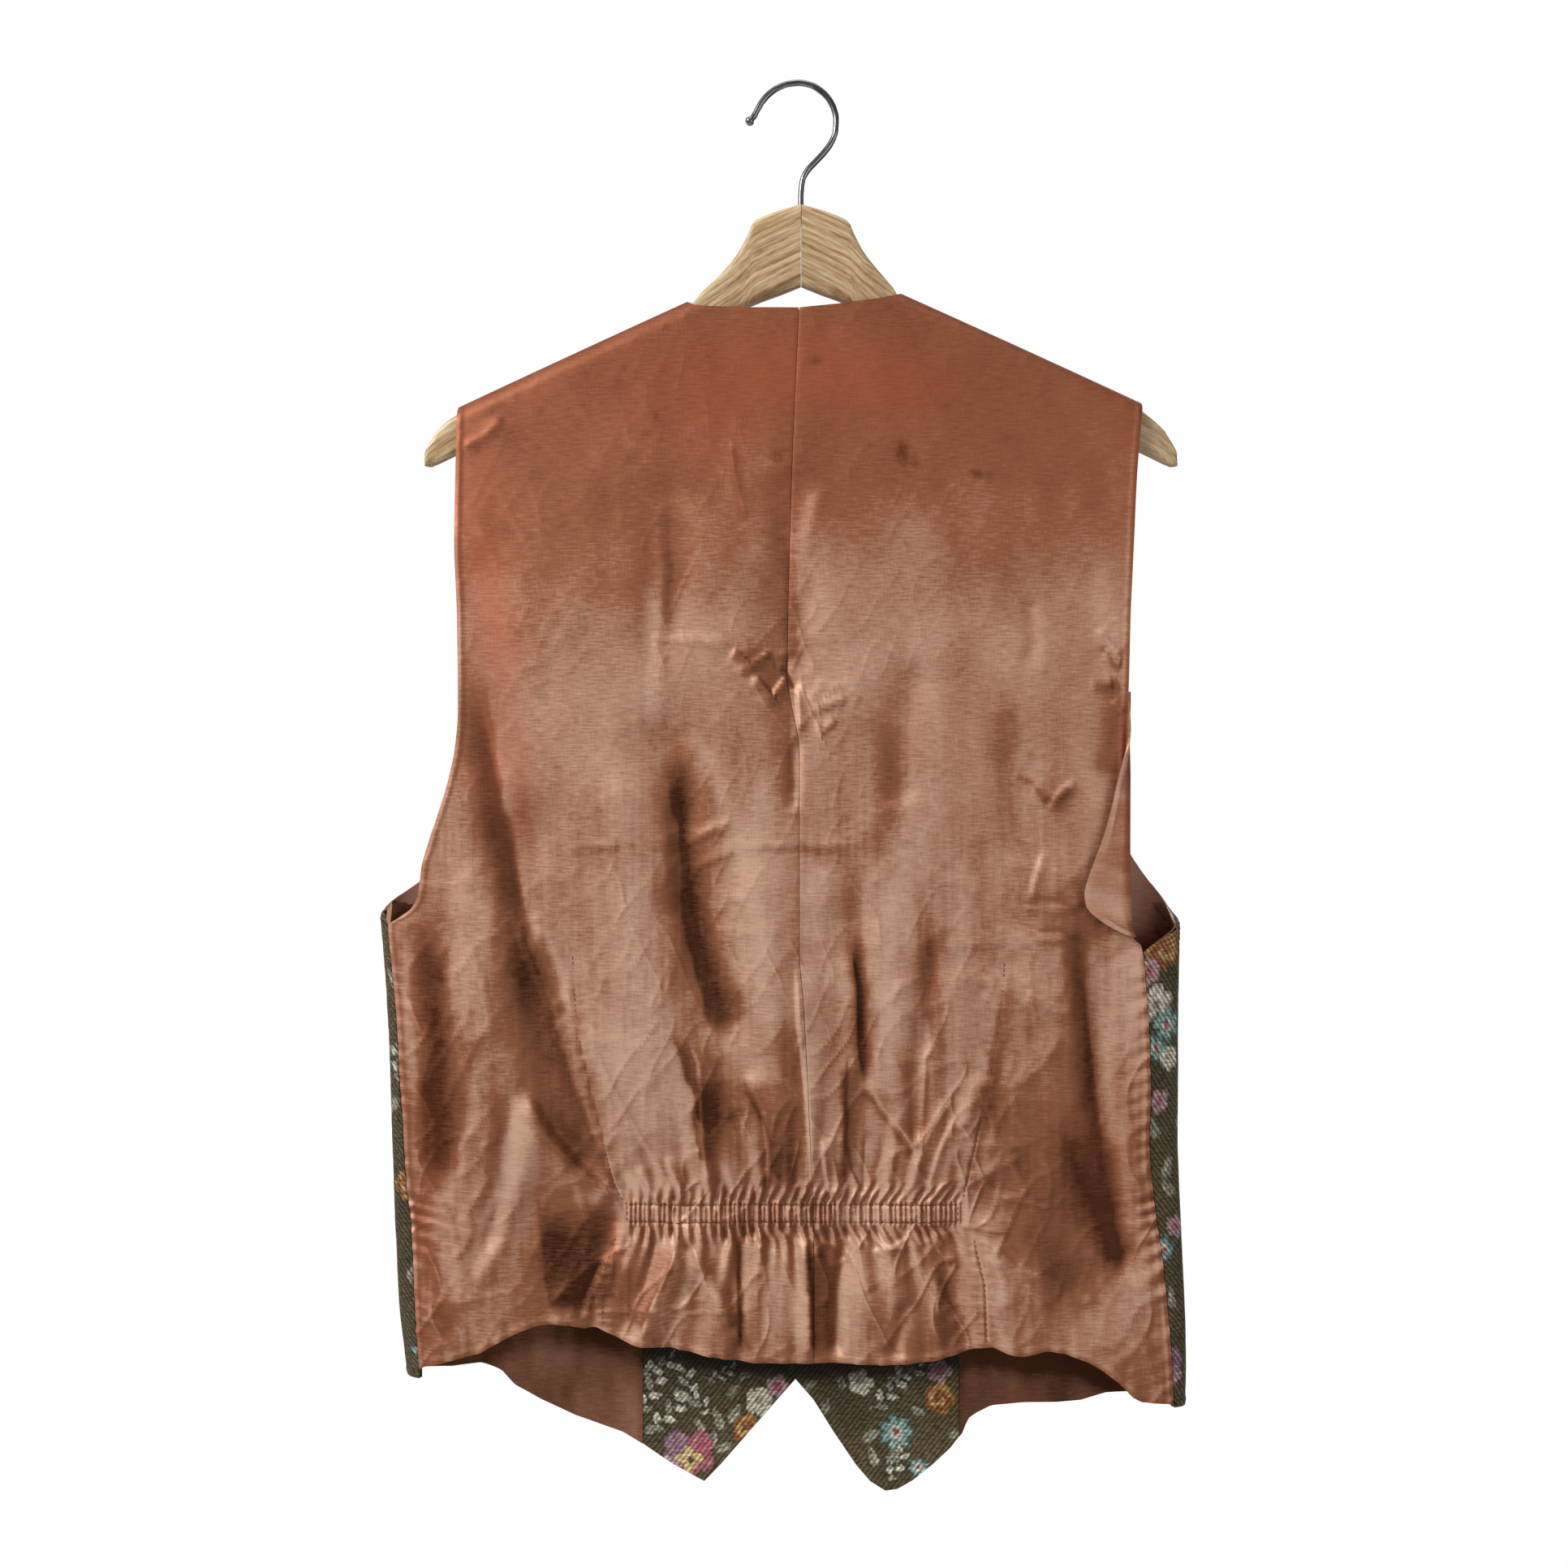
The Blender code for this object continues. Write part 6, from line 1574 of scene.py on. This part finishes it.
brownThread = makeThread("threadBrownCotton", threadLook["dark"])
blackThread = makeThread("threadBlackCotton", threadLook["black"])
elasticLines = [((band["left"], z), (0.0, z + 0.3), (band["right"], z))
                for z in (band["top"], band["bottom"])]
elasticLines += [((band["left"], band["top"]), (band["left"], band["bottom"])),
                 ((band["right"], band["top"]), (band["right"], band["bottom"]))]
runs = np.concatenate([stitchLine(line) for line in elasticLines + darts])
points, faces = tubes(runs, np.full(runs.shape[:2], stitchForm["radius"]),
                      stitchForm["sides"], (0, 1, 0))
rideAs(buildMesh("elasticAndDartStitches", points, faces, brownThread), "satin")

# Buttons, each a turned disc with a sunk middle and four holes, and the buttonholes

buttonForm = {"count": 5, "holeAt": 1.7, "holeRadius": 0.8, "holeDepth": 1.5, "slot": 19.0,
              "slotSteps": 96, "slotMiddle": -9.0, "purlRadius": 0.55, "threadRadius": 0.4}
# radius and height of the face: middle, dish, rim, edge
buttonProfile = (
    (0.0, 2.2), (4.4, 2.2), (5.0, 2.35), (5.7, 2.95), (6.3, 3.2), (7.3, 3.18), (8.0, 2.9),
    (8.4, 2.4), (8.5, 1.8), (8.45, 1.1), (8.1, 0.5), (7.6, 0.15), (7.0, 0.0),
)


def makeHorn():
    # Pressed horn: dark brown with smoky streaks and a soft polish
    material, tree = newMaterial("hornPolished")
    place = add(tree, "TexCoord").outputs["Object"]
    stretch = add(tree, "Mapping", {"Vector": place, "Scale": (60.0, 60.0, 240.0)})
    smoke = add(tree, "TexNoise", {"Vector": stretch.outputs[0], "Scale": 1.0, "Detail": 4.0,
                                   "Distortion": 0.8})
    colour = add(tree, "Mix", {0: smoke.outputs[0], 6: (*linear("1E1812"), 1.0),
                               7: (*linear("5C4630"), 1.0)}, data_type="RGBA")
    rough = add(tree, "MapRange", {"Value": smoke.outputs[0], "To Min": 0.24, "To Max": 0.42})
    finishShader(tree, {"Base Color": colour.outputs[2], "Roughness": rough.outputs[0]})
    return material


# Faces between rings of points, closed by a fan at each end. The fans' middles are the two
# points that follow the rings.
def ringFaces(rows, around, flip):
    index = np.arange(rows * around).reshape(rows, around)
    after = np.roll(index, -1, axis=1)
    walls = np.stack((index[:-1], after[:-1], after[1:], index[1:]), -1).reshape(-1, 4)
    first = np.stack((np.full(around, index.size), after[0], index[0]), axis=-1)
    last = np.stack((np.full(around, index.size + 1), index[-1], after[-1]), axis=-1)
    faces = []
    for part in (walls, first, last):
        faces += (part[:, ::-1] if flip else part).tolist()
    return faces


# A button's face on a polar grid: the profile's height over the radius, less a bell-shaped
# pit at each of four holes. The rings close at the middle of the face and of the back.
def buttonPoints(centre):
    profile = np.array(buttonProfile)
    fine = np.linspace(0.0, len(profile) - 1.0, 46)[1:]
    radius = np.interp(fine, np.arange(len(profile)), profile[:, 0])
    height = np.interp(fine, np.arange(len(profile)), profile[:, 1])
    turn = turns(48)
    x, z = radius[:, None] * np.cos(turn), radius[:, None] * np.sin(turn)
    y = height[:, None] + 0.0 * x
    for holeX, holeZ in ((1, 1), (1, -1), (-1, 1), (-1, -1)):
        gap = np.hypot(x - holeX * buttonForm["holeAt"], z - holeZ * buttonForm["holeAt"])
        pit = np.exp(-(gap / buttonForm["holeRadius"]) ** 4)
        y = y - buttonForm["holeDepth"] * pit * (radius[:, None] < 4.6)
    rings = np.stack((x, y, z), axis=-1)
    centres = np.array([[0.0, 2.2, 0.0], [0.0, 0.0, 0.0]])
    points = np.concatenate((rings.reshape(-1, 3), centres)) + centre
    return points, ringFaces(*rings.shape[:2], True)


horn = makeHorn()
threadPaths, slotPaths = [], []
for number in range(1, buttonForm["count"] + 1):
    node = "button_%d" % number
    low, high = (np.array(corner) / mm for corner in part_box(node))
    centre = np.array((0.5 * (low[0] + high[0]), low[1], 0.5 * (low[2] + high[2])))
    points, faces = buttonPoints(centre)
    rideAs(buildMesh("button%d" % number, points, faces, horn, 35.0), "button", node)
    at = buttonForm["holeAt"]
    share = np.linspace(-1.0, 1.0, 9)
    for way in (-1, 1):
        threadPaths.append(centre + np.stack((at * share, 2.45 - share ** 6,
                                              way * at + 0 * share), axis=-1))
    # the worked slot runs from under the button towards the wearer's left
    turn = turns(buttonForm["slotSteps"])
    half = 0.5 * buttonForm["slot"]
    slotX = buttonForm["slotMiddle"] + np.sign(np.cos(turn)) * np.abs(np.cos(turn)) ** 0.5 * half
    slotZ = centre[2] + np.sign(np.sin(turn)) * np.abs(np.sin(turn)) ** 0.5
    slotY = faceDepth(slotX, slotZ, 1) + lapStep(slotX, slotZ, -1)
    front = frontDetail(slotX, slotZ, 1.0 + 0 * slotX, -1, 2.0 + 0 * slotX)
    slotPaths.append(np.stack((slotX, slotY + front + 0.1, slotZ), axis=-1))
threadPaths = np.array(threadPaths)
points, faces = tubes(threadPaths, np.full(threadPaths.shape[:2], buttonForm["threadRadius"]),
                      8, (0, 0, 1))
rideAs(buildMesh("buttonThreads", points, faces, blackThread), "button")
purl = 1.0 + 0.22 * np.cos(math.tau * np.arange(buttonForm["slotSteps"]) / 3.0)
purl = np.tile(buttonForm["purlRadius"] * purl, (buttonForm["count"], 1))
points, faces = tubes(np.array(slotPaths), purl, 8, (0, 1, 0), closed=True)
rideAs(buildMesh("buttonholes", points, faces, blackThread), "tapestry")
print("stitches, buttons and buttonholes made")

# Wooden arms and steel hook

hangerForm = {"thick": 13.4, "alongRows": 150, "aroundRows": 64, "grainMm": 2.4,
              "wireRadius": 1.8, "ballRadius": 2.7}
woodOutline = (  # distance from the middle, top of the left and right arm, underside
    (0.15, -70.2, -70.2, -117.0), (12.5, -73.6, -73.6, -122.0), (21.5, -76.9, -76.9, -125.2),
    (26.5, -79.3, -79.3, -127.2), (28.6, -81.7, -81.7, -128.0), (30.4, -86.4, -86.4, -128.8),
    (33.0, -91.6, -91.6, -129.8), (35.5, -96.4, -96.4, -130.8), (39.0, -101.6, -101.6, -132.4),
    (43.0, -106.6, -106.6, -134.4), (48.0, -112.2, -112.2, -136.9),
    (54.0, -117.8, -119.4, -139.9), (57.5, -121.0, -125.4, -141.7),
    (60.5, -124.4, -128.9, -143.2), (64.0, -128.8, -130.7, -145.0),
    (67.6, -131.6, -131.4, -146.8), (73.0, -134.8, -133.8, -149.5),
    (100.0, -145.5, -144.2, -163.0), (150.0, -167.9, -166.4, -188.0),
    (198.0, -189.6, -188.0, -212.0), (207.0, -195.0, -195.0, -216.2),
    (213.0, -200.6, -200.6, -219.0), (218.0, -208.6, -208.6, -221.0),
    (221.4, -215.0, -215.0, -220.8),
)
hookPath = (  # x and height of the wire's middle line, from its free end
    (-31.6, -22.0), (-29.6, -20.2), (-27.4, -17.6), (-25.2, -13.4), (-22.4, -8.8),
    (-18.6, -4.6), (-13.4, -1.0), (-7.4, 1.2), (-1.0, 1.8), (5.6, 0.6), (11.4, -2.8),
    (16.2, -7.8), (19.2, -13.6), (20.6, -20.0), (20.2, -26.6), (17.6, -33.2),
    (13.2, -39.2), (8.2, -44.6), (3.8, -49.4), (1.2, -54.6), (0.3, -60.0), (0.0, -66.0),
    (0.0, -74.0), (0.0, -82.0),
)


def makeOak():
    # Varnished oak: pale, with long fine grain along each arm and a thin satin coat
    material, tree = newMaterial("oakVarnished")
    flat = add(tree, "UVMap", uv_map="grain").outputs[0]
    grain = 1.0 / (hangerForm["grainMm"] * mm)
    long = add(tree, "Mapping", {"Vector": flat, "Rotation": (0.0, 0.0, math.radians(14)),
                                 "Scale": (0.06 * grain, grain, 1.0)})
    fine = add(tree, "Mapping", {"Vector": flat, "Scale": (0.35 * grain, 3.0 * grain, 1.0)})
    wide = add(tree, "TexNoise", {"Vector": long.outputs[0], "Scale": 1.0, "Detail": 5.0,
                                  "Distortion": 0.3})
    flecks = add(tree, "TexNoise", {"Vector": fine.outputs[0], "Scale": 1.0, "Detail": 2.0})
    both = add(tree, "Math", {0: flecks.outputs[0], 1: 0.45, 2: wide.outputs[0]},
               operation="MULTIPLY_ADD")
    tone = add(tree, "MapRange", {"Value": both.outputs[0], "From Min": 0.52, "From Max": 0.9})
    colour = add(tree, "Mix", {0: tone.outputs[0], 6: (*linear("94683A"), 1.0),
                               7: (*linear("E3C79C"), 1.0)}, data_type="RGBA")
    bump = add(tree, "Bump", {"Height": both.outputs[0], "Strength": 0.2,
                              "Distance": 0.1 * mm})
    finishShader(tree, {"Base Color": colour.outputs[2], "Normal": bump.outputs[0],
                        "Roughness": 0.42, "Coat Weight": 0.25, "Coat Roughness": 0.3})
    return material


# One arm: a rounded rectangle, drawn as a super-ellipse of power 5, carried along the
# outline's table and leaned to the front by the square of the distance. Both ends close
# on a fan.
def makeArm(side, material):
    table = np.array(woodOutline)
    lengths = lengthsAlong(table[:, :2])
    at = np.linspace(0.0, lengths[-1], hangerForm["alongRows"])
    reach = np.interp(at, lengths, table[:, 0])
    top = np.interp(at, lengths, table[:, 1 if side < 0 else 2])
    bottom = np.interp(at, lengths, table[:, 3])
    turn = turns(hangerForm["aroundRows"])
    halfY, halfZ = 0.5 * hangerForm["thick"], 0.5 * (top - bottom)[:, None]
    power = np.where(halfZ > 8.0, 0.34, 0.44)
    y = halfY * np.sign(np.cos(turn)) * np.abs(np.cos(turn)) ** 0.36 + 0 * halfZ
    z = 0.5 * (top + bottom)[:, None] + halfZ * np.sign(np.sin(turn)) * np.abs(
        np.sin(turn)) ** power
    tipRound = np.sqrt(np.clip(1.0 - ((at - lengths[-1] + 5.0) / 5.2) ** 2, 0, 1))
    tipRound = np.where(at > lengths[-1] - 5.0, tipRound, 1.0)[:, None]
    lean = form["hangerLean"] * (2.0 * reach / form["hangerSpan"]) ** 2
    y = lean[:, None] + y * np.maximum(tipRound, 0.25)
    x = side * reach[:, None] + 0 * y
    rings = np.stack((x, y, z), axis=-1)
    points = np.concatenate((rings.reshape(-1, 3), rings[:1].mean(1), rings[-1:].mean(1)))
    arm = buildMesh("hangerArm" + sideWord[side], points,
                    ringFaces(*rings.shape[:2], side < 0), material, 40.0)
    corner = np.empty(len(arm.data.loops), np.int32)
    arm.data.loops.foreach_get("vertex_index", corner)
    walked = np.concatenate((np.repeat(at, len(turn)), (0.0, lengths[-1])))
    girth = np.concatenate((rings[..., 2].ravel() + 0.8 * rings[..., 1].ravel(),
                            points[-2:, 2])) + 0.45 * walked
    flat = np.stack((walked + 400.0 * (side > 0), side * girth), axis=-1) * mm
    layer = arm.data.uv_layers.new(name="grain")
    layer.data.foreach_set("uv", flat[corner].astype(np.float32).ravel())
    return rideAs(arm, "oak", "hanger_" + sideWord[side].lower())


def makeSteel():
    # Plated steel wire: dark grey, with soft reflections where it is worn
    material, tree = newMaterial("steelPlated")
    place = add(tree, "TexCoord").outputs["Object"]
    wear = add(tree, "TexNoise", {"Vector": place, "Scale": 240.0, "Detail": 3.0})
    rough = add(tree, "MapRange", {"Value": wear.outputs[0], "To Min": 0.22, "To Max": 0.36})
    colour = add(tree, "Mix", {0: wear.outputs[0], 6: (*linear("626264"), 1.0),
                               7: (*linear("98989B"), 1.0)}, data_type="RGBA")
    finishShader(tree, {"Base Color": colour.outputs[2], "Roughness": rough.outputs[0],
                        "Metallic": 1.0})
    return material


# The wire follows a curve through the table's points, each eased into the next, and its
# free end swells into a small ball.
def makeHook(material):
    path = np.array(hookPath)
    steps = lengthsAlong(path)
    at = np.linspace(0.0, steps[-1], 150)
    x = glide(np.stack((steps, path[:, 0]), -1).tolist(), at, 1)
    z = glide(np.stack((steps, path[:, 1]), -1).tolist(), at, 1)
    ball, wire = hangerForm["ballRadius"], hangerForm["wireRadius"]
    swell = np.sqrt(np.maximum(1.0 - ((at - 0.8 * ball) / ball) ** 2, 0.0)) * ball
    radius = np.where(at < 1.5 * ball, np.maximum(swell, wire * (at > 0.8 * ball)), wire)
    radius = np.maximum(radius, 0.3)
    points, faces = tubes(np.stack((x, 0 * x, z), -1)[None], radius[None], 20, (0, 1, 0))
    return rideAs(buildMesh("hookWire", points, faces, material, 60.0), "steel", "hook")


oak = makeOak()
for side in (-1, 1):
    makeArm(side, oak)
makeHook(makeSteel())
print("hanger and hook made")

# Where it hangs: a pale floor under the hem, a white room, soft lamps and the camera

stageLook = {
    "floorHeight": -1.62,        # metres, as all below: the rail is at head height
    "floorRadius": 1.3,
    "floorSides": 96,
    "cameraAt": (-0.010, -1.100, -0.408),
    "imageWidth": 0.9165,        # the photo's width where the garment hangs
    "roomWhite": 1.0,
    "roomLight": 0.16,
    "lamps": (  # name, place, aim, width, height, watts
        ("keyLamp", (-1.5, -0.95, 0.75), (0.0, 0.0, -0.45), 0.8, 0.8, 38.0),
        ("fillLamp", (1.3, -1.6, -0.3), (0.0, 0.0, -0.5), 1.2, 1.2, 9.0),
        ("topLamp", (0.0, -0.1, 1.2), (0.0, 0.0, -0.3), 1.0, 0.6, 7.0),
        ("frontKeyLamp", (1.3, 1.5, 0.4), (0.0, 0.0, -0.45), 0.9, 0.9, 20.0),
        ("frontFillLamp", (-1.4, 1.5, -0.3), (0.0, 0.0, -0.5), 1.2, 1.2, 8.0),
    ),
}


def makeFloor():
    # Matt painted board: pale, without gloss
    material, tree = newMaterial("floorMattGlowingRim")
    place = add(tree, "TexCoord").outputs["Object"]
    speck = add(tree, "TexNoise", {"Vector": place, "Scale": 40.0, "Detail": 3.0})
    colour = add(tree, "Mix", {0: speck.outputs[0], 6: (*linear("ECEBE8"), 1.0),
                               7: (*linear("F5F4F2"), 1.0)}, data_type="RGBA")
    # painted glow: the rim glows white by emission and runs out into the white of the room
    reach = add(tree, "VectorMath", {0: place}, operation="LENGTH").outputs["Value"]
    glow = add(tree, "MapRange", {"Value": reach, "From Min": 1.78, "From Max": 2.06})
    finishShader(tree, {"Base Color": colour.outputs[2], "Emission Strength": glow.outputs[0],
                        "Emission Color": (1.0, 1.0, 1.0, 1.0), "Roughness": 0.8})
    angle = turns(stageLook["floorSides"])
    radius = stageLook["floorRadius"]
    points = np.stack((radius * np.cos(angle), radius * np.sin(angle),
                       np.full(len(angle), stageLook["floorHeight"])), axis=-1)
    mesh = bpy.data.meshes.new("studioFloor")
    mesh.from_pydata(points.tolist(), [], [list(range(len(angle)))])
    mesh.materials.append(material)
    floor = bpy.data.objects.new("studioFloor", mesh)
    bpy.context.scene.collection.objects.link(floor)


def makeRoom():
    world = bpy.data.worlds.new("whiteRoom")
    bpy.context.scene.world = world
    world.use_nodes = True
    tree = world.node_tree
    tree.nodes.clear()
    seen = add(tree, "LightPath").outputs["Is Camera Ray"]
    strength = add(tree, "MapRange", {"Value": seen, "To Min": stageLook["roomLight"],
                                      "To Max": stageLook["roomWhite"]})
    glow = add(tree, "Background", {"Color": (1.0, 1.0, 1.0, 1.0),
                                    "Strength": strength.outputs[0]})
    output = add(tree, "OutputWorld")
    tree.links.new(glow.outputs[0], output.inputs[0])


def aimed(thing, place, aim):
    thing.location = place
    way = Vector(aim) - Vector(place)
    thing.rotation_euler = way.to_track_quat("-Z", "Y").to_euler()
    bpy.context.scene.collection.objects.link(thing)


makeFloor()
makeRoom()
for lampName, place, aim, width, height, watts in stageLook["lamps"]:
    light = bpy.data.lights.new(lampName, "AREA")
    light.shape = "RECTANGLE"
    light.size, light.size_y, light.energy = width, height, watts
    aimed(bpy.data.objects.new(lampName, light), place, aim)
lens = bpy.data.cameras.new("photoCamera")
lens.sensor_width = 36.0
lens.lens = 36.0 * -stageLook["cameraAt"][1] / stageLook["imageWidth"]
lens.clip_start, lens.clip_end = 0.05, 20.0
camera = bpy.data.objects.new("photoCamera", lens)
aimed(camera, stageLook["cameraAt"], (stageLook["cameraAt"][0], 0.0, stageLook["cameraAt"][2]))
bpy.context.scene.camera = camera
bpy.context.scene.view_settings.view_transform = "Standard"
bpy.context.scene.view_settings.look = "None"
print("stage, lamps and camera set")
